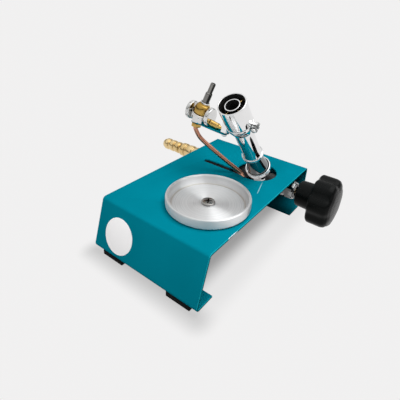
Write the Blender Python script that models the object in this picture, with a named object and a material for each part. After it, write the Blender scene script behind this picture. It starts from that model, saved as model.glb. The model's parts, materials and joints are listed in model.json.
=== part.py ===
import bpy
import bmesh
import math
from mathutils import Matrix, Vector

# All driving sizes are in millimetres and turned into metres when a mesh is made.
MM = 0.001
GAP = 0.3

# Base: one bent sheet, open at both sides, with a sloping front leg and an upright back leg.
PLATE_W = 100.0
PLATE_D = 152.0
LEG_H = 40.0
SHEET_T = 1.5
BEND_R = 3.0
FRONT_SPLAY = 12.3
FRONT_FLANGE = 18.0
BACK_FLANGE = 25.5
GAS_SETBACK = 29.3
HOLE_X = 18.0
HOLE_SETBACK = 37.9
HOLE_R = 17.2
SLOT_LEFT = -30.5
SLOT_SETBACK = 53.8
SLOT_W = 6.0
HOLE_Y = PLATE_D / 2.0 - HOLE_SETBACK
SLOT_FRONT = PLATE_D / 2.0 - SLOT_SETBACK

# Rubber feet under the two flanges.
FOOT_L = 21.0
FOOT_D = 12.0
FOOT_T = 4.6
FOOT_INSET = 17.6
FOOT_X = PLATE_W / 2.0 - FOOT_INSET
FOOT_SETBACK = 2.5

# Turned dish and its screw.
DISH_X = 16.2
DISH_SETBACK = 43.2
DISH_Y = DISH_SETBACK - PLATE_D / 2.0
DISH_R = 31.8
DISH_H = 8.0
DISH_FLOOR = 2.2
DISH_WALL = 2.2
DISH_SCREW_R = 2.5
DISH_HEAD_R = 5.0

# Gas line along X under the plate.
GAS_Y = PLATE_D / 2.0 - GAS_SETBACK
GAS_Z = -10.7
TAIL_TIP = -99.4
TAIL_HEX_L = 6.0
TAIL_STUB_L = 9.0
TAIL_R = 5.9
TAIL_STEP_R = 6.9
TAIL_BORE = 2.8
TAIL_PITCH = 7.1
TAIL_STEP_PITCH = 9.0
TAIL_SMALL_RIDGES = 3
TAIL_LARGE_RIDGES = 3
RIDGE_DEPTH = 0.9
PIPE_R = 6.5
PIPE_BORE = 4.5
BODY_R = 7.8
BODY_LEFT = -8.0
BODY_RIGHT = 42.8
NECK_R = 6.0
NECK_END = 53.5
NECK_BORE = 4.4
NUT_R = 8.8
NUT_LEFT = 45.2
NUT_L = 7.0
HANGER_T = 0.8
HANGER_HALF = 12.0
HANGER_FLANGE = 5.0
PIPE_NUT_L = 4.5
SPINDLE_R = 2.4
NEEDLE_TIP = 29.0

# Black lobed knob.
HUB_LEFT = 56.0
HUB_R = 11.2
LOBE_LEFT = 69.5
LOBE_RIGHT = 86.0
KNOB_FACE = 89.2
KNOB_R = 21.4
LOBES = 7
LOBE_DEPTH = 1.9

# Burner: leans forward over the dish and a little to the hose side, heights run along its own axis.
BURNER_X = 20.7
BURNER_TILT = 33.95
BURNER_LEAN = 3.87
STEM_R = 4.3
STEM_LOW = 3.0
STEM_STEP = 9.2
STEM_STEP_R = 6.0
TOWER_R = 3.6
TOWER_TOP = 18.0
STEM_BORE = 1.4
GAS_JET_R = 2.3
GAS_JET_LOW = 15.0
GAS_JET_EDGE = 19.5
GAS_JET_TOP = 24.0
COLLAR_LOW = 11.0
COLLAR_RING = 17.2
COLLAR_TOP = 21.6
COLLAR_R = 11.1
SKIRT_R = 9.4
SKIRT_WALL = 0.9
WINDOWS = 4
WINDOW_R = 2.0
NECK_BASE_R = 5.7
NECK_WAIST_R = 3.4
BELL_R = 9.2
BELL_TOP_R = 6.9
FLARE_L = 6.5
TUBE_LOW = 38.2
TUBE_FLANGE_R = 9.1
TUBE_FLANGE_L = 2.6
TUBE_R = 7.6
TUBE_BORE = 5.1
TUBE_TOP_R = 5.95
CUP_LOW = 80.5
CUP_TOP = 100.2
CUP_R = 10.9
CUP_WALL = 0.9
SPIDER_Z = 93.0
SPOKES = 4

# Clamp collar on the burner tube that carries the pilot arm.
ARM_MID = 78.2
CLAMP_LOW = 77.6
CLAMP_TOP = 80.2
CLAMP_R = 10.9
CONE_L = 6.4
EAR_DROP = 2.4
EAR_OUT = 14.6
EAR_T = 1.8
SPLIT = 1.2
VENT_W = 7.2
VENT_H = 1.5
VENT_TURN = -57.0

# Pilot light on its bent sheet arm, measured from the clamp and then from the arm's own bend.
ARM_DIP = 8.0
ARM_SLOPE = 4.0
ARM_T = 1.0
ARM_W = 7.0
ARM_BOTTOM = -12.1
ARM_RIGHT = -9.2
ARM_BEND = -22.4
ARM_REACH = 19.9
ARM_RISE = 2.0
POST_W = 4.6
PILOT_AXIS = 7.7
BLOCK_R = 7.5
BLOCK_TURN = -78.0
BLOCK_TOP = 9.2
NOZZLE_X = -14.4
BOSS_R = 7.0
BOSS_L = 2.4
BOSS_UP = 0.4
PILOT_BORE_L = 4.4
PILOT_CROSS_L = 6.0
BLOCK_LEFT = NOZZLE_X - BLOCK_R
BLOCK_RIGHT = NOZZLE_X + BLOCK_R * 0.955
NOZZLE_TILT = 12.5
NOZZLE_H = 25.0
NOZZLE_STEP = 16.6
NOZZLE_R = 2.8
NOZZLE_TIP_R = 2.1
DOME_R = 6.0
DOME_LOW = -0.9
DOME_H = 8.2
DISC_R = 7.6
DISC_L = 3.4
PLUG_R = 7.3
PLUG_L = 3.6
JET_Z = 4.0
JET_R = 2.7
JET_L = 7.4
JET_CONE = 3.8
INLET_X = -16.4
INLET_R = 4.4
INLET_L = 3.2
COPPER_R = 1.8
TAKEOFF_X = 9.0


def clear_scene():
    for obj in list(bpy.data.objects):
        bpy.data.objects.remove(obj, do_unlink=True)


def finish(name, colour, roughness, metallic):
    mat = bpy.data.materials.new(name)
    mat.use_nodes = True
    node = mat.node_tree.nodes["Principled BSDF"]
    node.inputs["Base Color"].default_value = (colour[0], colour[1], colour[2], 1.0)
    node.inputs["Roughness"].default_value = roughness
    node.inputs["Metallic"].default_value = metallic
    return mat


def frame(name, parent, location, rotation=(0.0, 0.0, 0.0)):
    empty = bpy.data.objects.new(name, None)
    bpy.context.scene.collection.objects.link(empty)
    empty.parent = parent
    empty.location = Vector(location) * MM
    empty.rotation_euler = rotation
    bpy.context.view_layer.update()
    return empty


def smooth(mesh):
    mesh.shade_smooth()
    mesh.set_sharp_from_angle(angle=math.radians(32.0))


def solid(name, bm, mat, parent):
    bmesh.ops.recalc_face_normals(bm, faces=bm.faces)
    bmesh.ops.scale(bm, vec=(MM, MM, MM), verts=bm.verts)
    mesh = bpy.data.meshes.new(name)
    bm.to_mesh(mesh)
    bm.free()
    mesh.materials.append(mat)
    smooth(mesh)
    obj = bpy.data.objects.new(name, mesh)
    bpy.context.scene.collection.objects.link(obj)
    obj.parent = parent
    bpy.context.view_layer.update()
    return obj


def combine(obj, tool, operation):
    mat = obj.data.materials[0]
    tool.hide_render = True
    tool.display_type = 'WIRE'
    mod = obj.modifiers.new("join", 'BOOLEAN')
    mod.operation = operation
    mod.solver = 'EXACT'
    mod.object = tool
    bpy.context.view_layer.update()
    graph = bpy.context.evaluated_depsgraph_get()
    mesh = bpy.data.meshes.new_from_object(obj.evaluated_get(graph))
    mesh.materials.clear()
    mesh.materials.append(mat)
    obj.modifiers.clear()
    obj.data = mesh
    smooth(mesh)
    bpy.data.objects.remove(tool, do_unlink=True)
    return obj


def cut(obj, tool):
    return combine(obj, tool, 'DIFFERENCE')


def join(obj, tool):
    return combine(obj, tool, 'UNION')


def ring_points(radius, z, count, start=0.0):
    points = []
    for i in range(count):
        a = start + 2.0 * math.pi * i / count
        points.append((radius * math.cos(a), radius * math.sin(a), z))
    return points


def skin(bm, rings, closed):
    loops = []
    for ring in rings:
        loops.append([bm.verts.new(p) for p in ring])
    pairs = list(zip(loops, loops[1:]))
    if closed:
        pairs.append((loops[-1], loops[0]))
    for a, b in pairs:
        span = max(len(a), len(b))
        for i in range(span):
            j = (i + 1) % span
            if len(a) == 1:
                bm.faces.new((a[0], b[j], b[i]))
            elif len(b) == 1:
                bm.faces.new((a[i], a[j], b[0]))
            else:
                bm.faces.new((a[i], a[j], b[j], b[i]))
    return loops


def turned(name, profile, count, mat, parent):
    bm = bmesh.new()
    rings = []
    for r, z in profile:
        if r > 0.0:
            rings.append(ring_points(r, z, count))
        else:
            rings.append([(0.0, 0.0, z)])
    skin(bm, rings, profile[0][0] > 0.0)
    return solid(name, bm, mat, parent)


def rod(name, radius, z0, z1, count, mat, parent):
    profile = [(0.0, z0), (radius, z0), (radius, z1), (0.0, z1)]
    return turned(name, profile, count, mat, parent)


def box(name, low, high, mat, parent):
    bm = bmesh.new()
    bmesh.ops.create_cube(bm, size=1.0)
    mid = [(a + b) / 2.0 for a, b in zip(low, high)]
    size = [b - a for a, b in zip(low, high)]
    bmesh.ops.scale(bm, vec=size, verts=bm.verts)
    bmesh.ops.translate(bm, vec=mid, verts=bm.verts)
    return solid(name, bm, mat, parent)


def bevelled_box(name, low, high, bevel, mat, parent):
    bm = bmesh.new()
    bmesh.ops.create_cube(bm, size=1.0)
    mid = [(a + b) / 2.0 for a, b in zip(low, high)]
    size = [b - a for a, b in zip(low, high)]
    bmesh.ops.scale(bm, vec=size, verts=bm.verts)
    bmesh.ops.translate(bm, vec=mid, verts=bm.verts)
    bmesh.ops.bevel(bm, geom=list(bm.edges), offset=bevel, segments=1, affect='EDGES')
    return solid(name, bm, mat, parent)


def hexagon(name, radius, z0, z1, mat, parent, turn=0.0):
    edge = 0.12 * radius
    bm = bmesh.new()
    rings = []
    rings.append(ring_points(radius - edge, z0, 6, turn))
    rings.append(ring_points(radius, z0 + edge / 2.0, 6, turn))
    rings.append(ring_points(radius, z1 - edge / 2.0, 6, turn))
    rings.append(ring_points(radius - edge, z1, 6, turn))
    loops = skin(bm, rings, False)
    bm.faces.new(loops[0])
    bm.faces.new(loops[-1])
    return solid(name, bm, mat, parent)


def hex_nut(name, radius, hole, z0, z1, mat, parent):
    nut = hexagon(name, radius, z0, z1, mat, parent)
    return cut(nut, rod("nut_hole", hole, z0 - 1.0, z1 + 1.0, 20, mat, parent))


def side_rod(name, start, direction, length, radius, count, mat, parent):
    tool = rod(name, radius, 0.0, length, count, mat, parent)
    turn = Vector((0.0, 0.0, 1.0)).rotation_difference(Vector(direction)).to_matrix().to_4x4()
    tool.data.transform(Matrix.Translation(Vector(start) * MM) @ turn)
    return tool


def sheet_section(corners, thick, radius, steps):
    outer = []
    inner = []
    points = [Vector(c) for c in corners]
    for i, p in enumerate(points):
        if i in (0, len(points) - 1):
            along = (points[1] - points[0]) if i == 0 else (points[-1] - points[-2])
            along.normalize()
            outer.append(p)
            inner.append(p + Vector((along.y, -along.x)) * thick)
            continue
        a = (p - points[i - 1]).normalized()
        b = (points[i + 1] - p).normalized()
        angle = a.angle(b)
        start = p - a * radius * math.tan(angle / 2.0)
        centre = start + Vector((a.y, -a.x)) * radius
        for k in range(steps + 1):
            arm = (start - centre).copy()
            arm.rotate(Matrix.Rotation(-angle * k / steps, 2))
            outer.append(centre + arm)
            inner.append(centre + arm * (radius - thick) / radius)
    return outer + inner[::-1]


def base_section():
    front = -PLATE_D / 2.0 - FRONT_SPLAY
    back = PLATE_D / 2.0
    corners = [(front + FRONT_FLANGE, -LEG_H), (front, -LEG_H), (-PLATE_D / 2.0, 0.0)]
    corners += [(back, 0.0), (back, -LEG_H), (back - BACK_FLANGE, -LEG_H)]
    return sheet_section(corners, SHEET_T, BEND_R, 4)


def make_base(mat, parent):
    bm = bmesh.new()
    section = base_section()
    rings = []
    for x in (-PLATE_W / 2.0, PLATE_W / 2.0):
        rings.append([(x, p.x, p.y) for p in section])
    loops = skin(bm, rings, False)
    bm.faces.new(loops[0])
    bm.faces.new(loops[1])
    base = solid("base_plate", bm, mat, parent)
    slot_mid = SLOT_FRONT + SLOT_W / 2.0
    hole = rod("hole_tool", HOLE_R, -4.0, 4.0, 48, mat, parent)
    hole.location = Vector((HOLE_X, HOLE_Y, 0.0)) * MM
    cut(base, hole)
    low = (SLOT_LEFT + SLOT_W / 2.0, SLOT_FRONT, -4.0)
    cut(base, box("slot_tool", low, (HOLE_X, SLOT_FRONT + SLOT_W, 4.0), mat, parent))
    tip = rod("slot_end_tool", SLOT_W / 2.0 - 0.005, -4.0, 4.0, 24, mat, parent)
    tip.location = Vector((SLOT_LEFT + SLOT_W / 2.0, slot_mid, 0.0)) * MM
    cut(base, tip)
    screw = rod("screw_tool", DISH_SCREW_R + GAP, -4.0, 4.0, 20, mat, parent)
    screw.location = Vector((DISH_X, DISH_Y, 0.0)) * MM
    return cut(base, screw)


def make_feet(mat, parent):
    top = -LEG_H - GAP
    front = -PLATE_D / 2.0 - FRONT_SPLAY + FOOT_SETBACK
    back = PLATE_D / 2.0 - FOOT_SETBACK - FOOT_D
    for row, y in (("front", front), ("back", back)):
        for side, x in (("left", -FOOT_X), ("right", FOOT_X)):
            low = (x - FOOT_L / 2.0, y, top - FOOT_T)
            high = (x + FOOT_L / 2.0, y + FOOT_D, top)
            bevelled_box("foot_" + row + "_" + side, low, high, 0.5, mat, parent)


def make_dish(mats, parent):
    place = frame("dish_frame", parent, (DISH_X, DISH_Y, 0.0))
    inner = DISH_R - DISH_WALL
    floor = GAP + DISH_FLOOR
    top = GAP + DISH_H
    hole = DISH_SCREW_R + GAP
    profile = [(hole, GAP), (DISH_R - 0.8, GAP), (DISH_R, GAP + 0.8), (DISH_R, top - 0.5)]
    profile += [(DISH_R - 0.5, top), (inner + 0.4, top), (inner, top - 0.4)]
    profile += [(inner - 0.8, floor + 1.4), (inner - 2.2, floor), (hole, floor)]
    turned("dish", profile, 48, mats["aluminium"], place)
    head = floor + GAP
    under = -SHEET_T - GAP
    shank = DISH_SCREW_R
    profile = [(0.0, under - 6.5), (shank, under - 6.5), (shank, head), (DISH_HEAD_R, head)]
    profile += [(DISH_HEAD_R, head + 1.0), (DISH_HEAD_R * 0.8, head + 2.1), (0.0, head + 2.6)]
    turned("dish_screw", profile, 20, mats["steel"], place)
    ring = [(hole, under - 1.0), (DISH_HEAD_R, under - 1.0), (DISH_HEAD_R, under), (hole, under)]
    turned("dish_washer", ring, 20, mats["steel"], place)
    hex_nut("dish_nut", 4.6, hole, under - 1.0 - GAP - 4.0, under - 1.0 - GAP, mats["steel"], place)


def make_hanger(mats, parent, axis):
    right = BODY_LEFT - GAP
    left = right - HANGER_T
    top = -SHEET_T - GAP
    front = GAS_Y - HANGER_HALF
    back = GAS_Y + HANGER_HALF
    low = (left, front, top - HANGER_T)
    hanger = box("valve_hanger", low, (right + HANGER_FLANGE, back, top), mats["teal"], parent)
    low = (left, front, GAS_Z - HANGER_HALF)
    join(hanger, box("web_tool", low, (right, back, top - HANGER_T / 2.0), mats["teal"], parent))
    start = (left - HANGER_T, GAS_Y, GAS_Z)
    span = 3.0 * HANGER_T
    cut(hanger, side_rod("web_hole", start, (1, 0, 0), span, PIPE_R + GAP, 24, mats["teal"], parent))
    hex_nut("pipe_nut", NUT_R, PIPE_R + GAP, left - GAP - PIPE_NUT_L, left - GAP, mats["dark"], axis)


def make_hose_tail(mat, axis):
    profile = [(TAIL_BORE, TAIL_TIP), (TAIL_R - 1.4, TAIL_TIP)]
    steps = [(TAIL_R, TAIL_PITCH)] * TAIL_SMALL_RIDGES + [(TAIL_STEP_R, TAIL_STEP_PITCH)] * TAIL_LARGE_RIDGES
    z = TAIL_TIP
    for crest, pitch in steps:
        low = crest - RIDGE_DEPTH
        profile += [(crest, z + pitch * 0.45), (crest, z + pitch * 0.9), (low, z + pitch * 0.94), (low, z + pitch)]
        z += pitch
    flange = TAIL_STEP_R + 0.8
    stub = PIPE_BORE - GAP
    end = z + TAIL_HEX_L
    profile += [(flange, z + 0.8), (flange, end), (stub, end), (stub, end + TAIL_STUB_L)]
    profile += [(TAIL_BORE, end + TAIL_STUB_L)]
    turned("hose_tail", profile, 16, mat, axis)
    return end


def make_supply_pipe(mat, axis, tail_end):
    left = tail_end + GAP
    right = BODY_LEFT + 11.5
    profile = [(PIPE_BORE, left), (PIPE_R, left), (PIPE_R, right), (PIPE_BORE, right)]
    return turned("supply_pipe", profile, 22, mat, axis)


def burner_direction():
    t = math.radians(BURNER_TILT)
    lean = math.radians(BURNER_LEAN)
    return Vector((-math.cos(t) * math.sin(lean), -math.sin(t), math.cos(t) * math.cos(lean)))


def make_valve_body(mat, axis, parent):
    socket = PIPE_R + GAP
    seat = NEEDLE_TIP - 1.0
    profile = [(socket, BODY_LEFT), (BODY_R - 0.5, BODY_LEFT), (BODY_R, BODY_LEFT + 0.5)]
    profile += [(BODY_R, BODY_RIGHT - 0.5), (BODY_R - 0.5, BODY_RIGHT), (NECK_R, BODY_RIGHT)]
    profile += [(NECK_R, NECK_END), (NECK_BORE, NECK_END), (NECK_BORE, seat + 4.0)]
    profile += [(1.6, seat), (1.6, BODY_LEFT + 12.0), (socket, BODY_LEFT + 12.0)]
    body = turned("valve_body", profile, 24, mat, axis)
    start = (BURNER_X, GAS_Y, GAS_Z)
    branch = side_rod("branch", start, burner_direction(), 14.0, STEM_R + GAP, 16, mat, parent)
    cut(body, branch)
    start = (TAKEOFF_X, GAS_Y, GAS_Z)
    return cut(body, side_rod("port", start, (0, -1, 0), 12.0, 2.6, 16, mat, parent))


def make_gland(mats, axis):
    right = NUT_LEFT + NUT_L
    hex_nut("gland_nut", NUT_R, NECK_R + GAP, NUT_LEFT, right, mats["nickel"], axis)
    low = SPINDLE_R + GAP
    high = NECK_BORE - GAP
    right = NECK_END - 1.0
    ring = [(low, right - 4.0), (high, right - 4.0), (high, right), (low, right)]
    turned("gland_packing", ring, 18, mats["rubber"], axis)


def make_spindle(mat, axis):
    end = LOBE_LEFT + 3.0
    profile = [(0.0, NEEDLE_TIP), (SPINDLE_R, NEEDLE_TIP + 5.0), (SPINDLE_R, end), (0.0, end)]
    return turned("valve_spindle", profile, 18, mat, axis)


def lobed_ring(radius, depth, z, count):
    points = []
    for i in range(count):
        a = 2.0 * math.pi * i / count
        r = radius - depth * (0.5 - 0.5 * math.cos(LOBES * a)) ** 1.6
        points.append((r * math.cos(a), r * math.sin(a), z))
    return points


def make_knob(mats, axis):
    count = LOBES * 8
    bore = SPINDLE_R + GAP
    deep = LOBE_LEFT + 3.5
    step = 1.6
    rings = [[(0.0, 0.0, deep)], ring_points(bore, deep, count), ring_points(bore, HUB_LEFT, count)]
    rings += [ring_points(HUB_R - 0.8, HUB_LEFT, count), ring_points(HUB_R, HUB_LEFT + 0.8, count)]
    rings += [ring_points(HUB_R + 0.6, LOBE_LEFT, count)]
    rings += [lobed_ring(KNOB_R - step, LOBE_DEPTH, LOBE_LEFT, count)]
    rings += [lobed_ring(KNOB_R, LOBE_DEPTH, LOBE_LEFT + step, count)]
    rings += [lobed_ring(KNOB_R, LOBE_DEPTH, LOBE_RIGHT - step, count)]
    rings += [lobed_ring(KNOB_R - step, LOBE_DEPTH, LOBE_RIGHT, count)]
    rings += [ring_points(KNOB_R * 0.72, KNOB_FACE - 1.0, count), [(0.0, 0.0, KNOB_FACE)]]
    bm = bmesh.new()
    skin(bm, rings, False)
    knob = solid("main_knob", bm, mats["black"], axis)
    middle = (HUB_LEFT + LOBE_LEFT) / 2.0
    start = (0.0, bore - 1.0, middle)
    cut(knob, side_rod("grub_tool", start, (0, 1, 0), HUB_R + 4.0, 1.8, 14, mats["black"], axis))
    start = (0.0, bore, middle)
    side_rod("knob_set_screw", start, (0, 1, 0), HUB_R - bore - 1.2, 1.5, 12, mats["steel"], axis)


def make_stem(mats, axis):
    flange = SKIRT_R - 2.0 * SKIRT_WALL - 2.0 * GAP
    seat = COLLAR_LOW - GAP
    profile = [(STEM_BORE, STEM_LOW), (STEM_R, STEM_LOW), (STEM_R, STEM_STEP), (STEM_STEP_R, STEM_STEP)]
    profile += [(STEM_STEP_R, seat), (flange, seat), (flange, seat + 1.7), (TOWER_R, seat + 1.7)]
    socket = GAS_JET_R + GAP
    profile += [(TOWER_R, TOWER_TOP), (socket, TOWER_TOP), (socket, GAS_JET_LOW), (STEM_BORE, GAS_JET_LOW)]
    turned("burner_stem", profile, 22, mats["nickel"], axis)
    low = GAS_JET_LOW + GAP
    profile = [(0.5, low), (GAS_JET_R, low), (GAS_JET_R, GAS_JET_EDGE), (1.0, GAS_JET_TOP), (0.5, GAS_JET_TOP)]
    turned("gas_jet", profile, 14, mats["brass"], axis)


def window_tools(obj, low, high, mat, axis):
    mid = (COLLAR_LOW + COLLAR_RING) / 2.0 + 0.4
    for i in range(WINDOWS):
        a = 2.0 * math.pi * (i + 0.5) / WINDOWS
        out = (math.cos(a), math.sin(a), 0.0)
        start = (low * out[0], low * out[1], mid)
        cut(obj, side_rod("window", start, out, high - low, WINDOW_R, 10, mat, axis))


def make_air_collar(mat, axis):
    inside = SKIRT_R - SKIRT_WALL
    hub = NECK_BASE_R + GAP
    roof = COLLAR_TOP - 1.6
    profile = [(inside, COLLAR_LOW), (SKIRT_R, COLLAR_LOW), (SKIRT_R, COLLAR_RING)]
    profile += [(COLLAR_R - 0.5, COLLAR_RING), (COLLAR_R, COLLAR_RING + 0.5), (COLLAR_R, COLLAR_TOP - 0.6)]
    sunk = COLLAR_TOP - 0.8
    profile += [(COLLAR_R - 0.5, COLLAR_TOP), (COLLAR_R - 1.0, COLLAR_TOP), (COLLAR_R - 1.6, sunk)]
    profile += [(hub, sunk), (hub, roof), (inside, roof)]
    collar = turned("air_collar", profile, 32, mat, axis)
    window_tools(collar, inside - 1.0, SKIRT_R + 1.0, mat, axis)
    return collar


def make_neck(mat, axis):
    outside = SKIRT_R - SKIRT_WALL - GAP
    inside = outside - SKIRT_WALL
    roof = COLLAR_TOP - 1.6 - GAP
    waist = TUBE_LOW - 1.5
    top = TUBE_LOW + 7.0
    profile = [(inside, COLLAR_LOW), (outside, COLLAR_LOW), (outside, roof), (NECK_BASE_R, roof)]
    foot = COLLAR_TOP - 0.8 + GAP
    head = TUBE_LOW - GAP
    rise = head - foot
    swell = BELL_R - BELL_TOP_R
    profile += [(NECK_BASE_R, foot), (BELL_R, foot), (BELL_R, foot + 0.4)]
    for share, part in ((0.16, 0.5), (0.38, 0.2), (0.7, 0.04)):
        profile.append((BELL_TOP_R + swell * part, foot + rise * share))
    profile += [(BELL_TOP_R, head), (NECK_WAIST_R, head), (NECK_WAIST_R, top)]
    profile += [(NECK_WAIST_R - 0.9, top), (NECK_WAIST_R - 0.9, waist - 2.0), (inside - 2.6, roof - 0.9)]
    profile += [(inside, roof - 0.9)]
    neck = turned("mixer_neck", profile, 24, mat, axis)
    window_tools(neck, inside - 1.0, outside + 0.15, mat, axis)
    return neck


def make_tube(mat, axis):
    hole = NECK_WAIST_R + GAP
    shoulder = CUP_LOW - GAP
    top = CUP_TOP - 1.2
    lip = TUBE_LOW + TUBE_FLANGE_L
    profile = [(hole, TUBE_LOW), (TUBE_FLANGE_R - 0.4, TUBE_LOW), (TUBE_FLANGE_R, TUBE_LOW + 0.4)]
    profile += [(TUBE_FLANGE_R, lip - 0.3), (TUBE_FLANGE_R - 0.3, lip), (TUBE_FLANGE_R - 0.6, lip)]
    profile += [(TUBE_FLANGE_R - 0.8, lip - 0.7), (TUBE_R + 0.35, lip + FLARE_L * 0.4), (TUBE_R, lip + FLARE_L)]
    profile.append((TUBE_R, shoulder))
    profile += [(TUBE_TOP_R, shoulder), (TUBE_TOP_R, top), (TUBE_BORE, top), (TUBE_BORE, lip + 7.0)]
    profile += [(hole, lip + 6.0)]
    return turned("burner_tube", profile, 26, mat, axis)


def make_cup(mat, axis):
    inside = CUP_R - CUP_WALL
    hole = TUBE_TOP_R + GAP
    profile = [(hole, CUP_LOW), (CUP_R - 0.9, CUP_LOW), (CUP_R, CUP_LOW + 0.9), (CUP_R, CUP_TOP - 0.4)]
    profile += [(CUP_R - 0.3, CUP_TOP), (inside, CUP_TOP), (inside, CUP_LOW + 1.2), (hole, CUP_LOW + 1.2)]
    cup = turned("flame_cup", profile, 32, mat, axis)
    for i in range(WINDOWS):
        a = 2.0 * math.pi * (i + 0.25) / WINDOWS
        mid = (TUBE_TOP_R + CUP_R) / 2.0
        start = (mid * math.cos(a), mid * math.sin(a), CUP_LOW - 1.0)
        cut(cup, side_rod("cup_port", start, (0, 0, 1), 4.0, 1.2, 8, mat, axis))
    return cup


def make_spider(mat, axis):
    low = TUBE_TOP_R + GAP
    ring = [(low, SPIDER_Z), (low + 0.9, SPIDER_Z), (low + 0.9, SPIDER_Z + 3.0), (low, SPIDER_Z + 3.0)]
    spider = turned("flame_spider", ring, 24, mat, axis)
    reach = CUP_R - CUP_WALL - GAP - low - 0.4
    for i in range(SPOKES):
        a = 2.0 * math.pi * i / SPOKES - 0.5 * math.pi - 0.35
        out = (math.cos(a), math.sin(a), 0.0)
        start = ((low + 0.4) * out[0], (low + 0.4) * out[1], SPIDER_Z + 1.5)
        join(spider, side_rod("spoke", start, out, reach, 0.8, 10, mat, axis))
    return spider


def make_clamp(mats, axis, pilot):
    chrome = mats["chrome"]
    low = CLAMP_LOW
    high = CLAMP_TOP
    ear_low = low - EAR_DROP
    ear_mid = (ear_low + high) / 2.0
    hole = TUBE_R + GAP
    ring = [(hole, low - CONE_L), (hole + 0.6, low - CONE_L), (CLAMP_R, low), (CLAMP_R, high), (hole, high)]
    clamp = turned("pilot_clamp", ring, 32, chrome, axis)
    half = SPLIT / 2.0 + EAR_T
    corner = (hole + 0.6, -half, ear_low)
    join(clamp, box("ear_tool", corner, (EAR_OUT, half, high - 0.01), chrome, axis))
    post_low = ARM_BOTTOM + ARM_T + GAP
    post_mid = ARM_RIGHT - POST_W / 2.0
    corner = (ARM_RIGHT - POST_W, -POST_W / 2.0, post_low)
    join(clamp, box("post_tool", corner, (ARM_RIGHT, POST_W / 2.0, -1.5), chrome, pilot))
    corner = (0.0, -SPLIT / 2.0, low - CONE_L - 1.0)
    cut(clamp, box("split_tool", corner, (EAR_OUT + 1.0, SPLIT / 2.0, high + 1.0), chrome, axis))
    vent = frame("vent_frame", axis, (0.0, 0.0, low + 0.5), (0.0, 0.0, math.radians(VENT_TURN)))
    corner = (hole - 1.0, -VENT_W / 2.0, 0.0)
    cut(clamp, box("vent_tool", corner, (CLAMP_R + 1.0, VENT_W / 2.0, VENT_H), chrome, vent))
    screw_x = (CLAMP_R + EAR_OUT) / 2.0 + 0.2
    start = (screw_x, -half - 1.0, ear_mid)
    cut(clamp, side_rod("ear_hole", start, (0, 1, 0), 2.0 * half + 2.0, 1.3, 14, chrome, axis))
    start = (post_mid, 0.0, post_low - 1.0)
    cut(clamp, side_rod("post_hole", start, (0, 0, 1), 6.0, 1.5, 14, chrome, pilot))
    place = frame("clamp_screw_frame", axis, (screw_x, 0.0, ear_mid), (-math.pi / 2.0, 0.0, 0.0))
    make_screw("clamp_screw", 1.0, 2.0, half + 2.1, -half - GAP, mats["nickel"], place)
    hex_nut("clamp_nut", 2.2, 1.0 + GAP, half + GAP, half + GAP + 1.4, mats["nickel"], place)
    place = frame("arm_screw_frame", pilot, (post_mid, 0.0, 0.0))
    make_screw("arm_screw", 1.2, 2.2, post_low + 4.5, ARM_BOTTOM - GAP, mats["nickel"], place)
    return post_mid


def make_screw(name, shank, head, top, seat, mat, place):
    profile = [(0.0, top), (shank, top), (shank, seat), (head, seat)]
    profile += [(head, seat - 0.9), (head * 0.7, seat - 1.5), (0.0, seat - 1.7)]
    return turned(name, profile, 14, mat, place)


def make_arm(mat, pilot):
    rise = math.radians(ARM_RISE)
    left = (ARM_BEND - ARM_REACH * math.cos(rise), ARM_BOTTOM + ARM_REACH * math.sin(rise))
    section = sheet_section([(ARM_RIGHT, ARM_BOTTOM), (ARM_BEND, ARM_BOTTOM), left], ARM_T, 6.0, 3)
    bm = bmesh.new()
    rings = []
    for y in (-ARM_W / 2.0, ARM_W / 2.0):
        rings.append([(p.x, y, p.y) for p in section])
    loops = skin(bm, rings, False)
    bm.faces.new(loops[0])
    bm.faces.new(loops[1])
    return solid("pilot_arm", bm, mat, pilot)


def make_pilot_block(mats, seat, nozzle):
    nickel = mats["nickel"]
    turn = math.radians(BLOCK_TURN)
    block = hexagon("pilot_body", BLOCK_R, GAP, BLOCK_TOP - 1.0, nickel, seat, turn)
    block.data.transform(Matrix.Translation(Vector((NOZZLE_X, 0.0, 0.0)) * MM))
    join(block, rod("boss", BOSS_R, -BOSS_L, BOSS_UP, 26, nickel, nozzle))
    cut(block, rod("dome_seat", DOME_R + 2.0 * GAP, DOME_LOW - GAP, BLOCK_TOP, 26, nickel, nozzle))
    start = (BLOCK_LEFT - 1.0, 0.0, PILOT_AXIS)
    cut(block, side_rod("main_bore", start, (1, 0, 0), PILOT_BORE_L, 1.4, 14, nickel, seat))
    start = (INLET_X, 0.0, -1.0)
    cut(block, side_rod("inlet_bore", start, (0, 0, 1), PILOT_AXIS, 2.4, 14, nickel, seat))
    start = (NOZZLE_X, 0.0, PILOT_AXIS - PILOT_BORE_L / 1.5)
    cut(block, side_rod("nozzle_bore", start, (0, 0, 1), PILOT_CROSS_L, 0.9, 12, nickel, seat))
    start = (BLOCK_RIGHT - PILOT_BORE_L / 1.1, 0.0, JET_Z)
    cut(block, side_rod("jet_bore", start, (1, 0, 0), PILOT_CROSS_L, 1.1, 10, nickel, seat))
    return block


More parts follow.
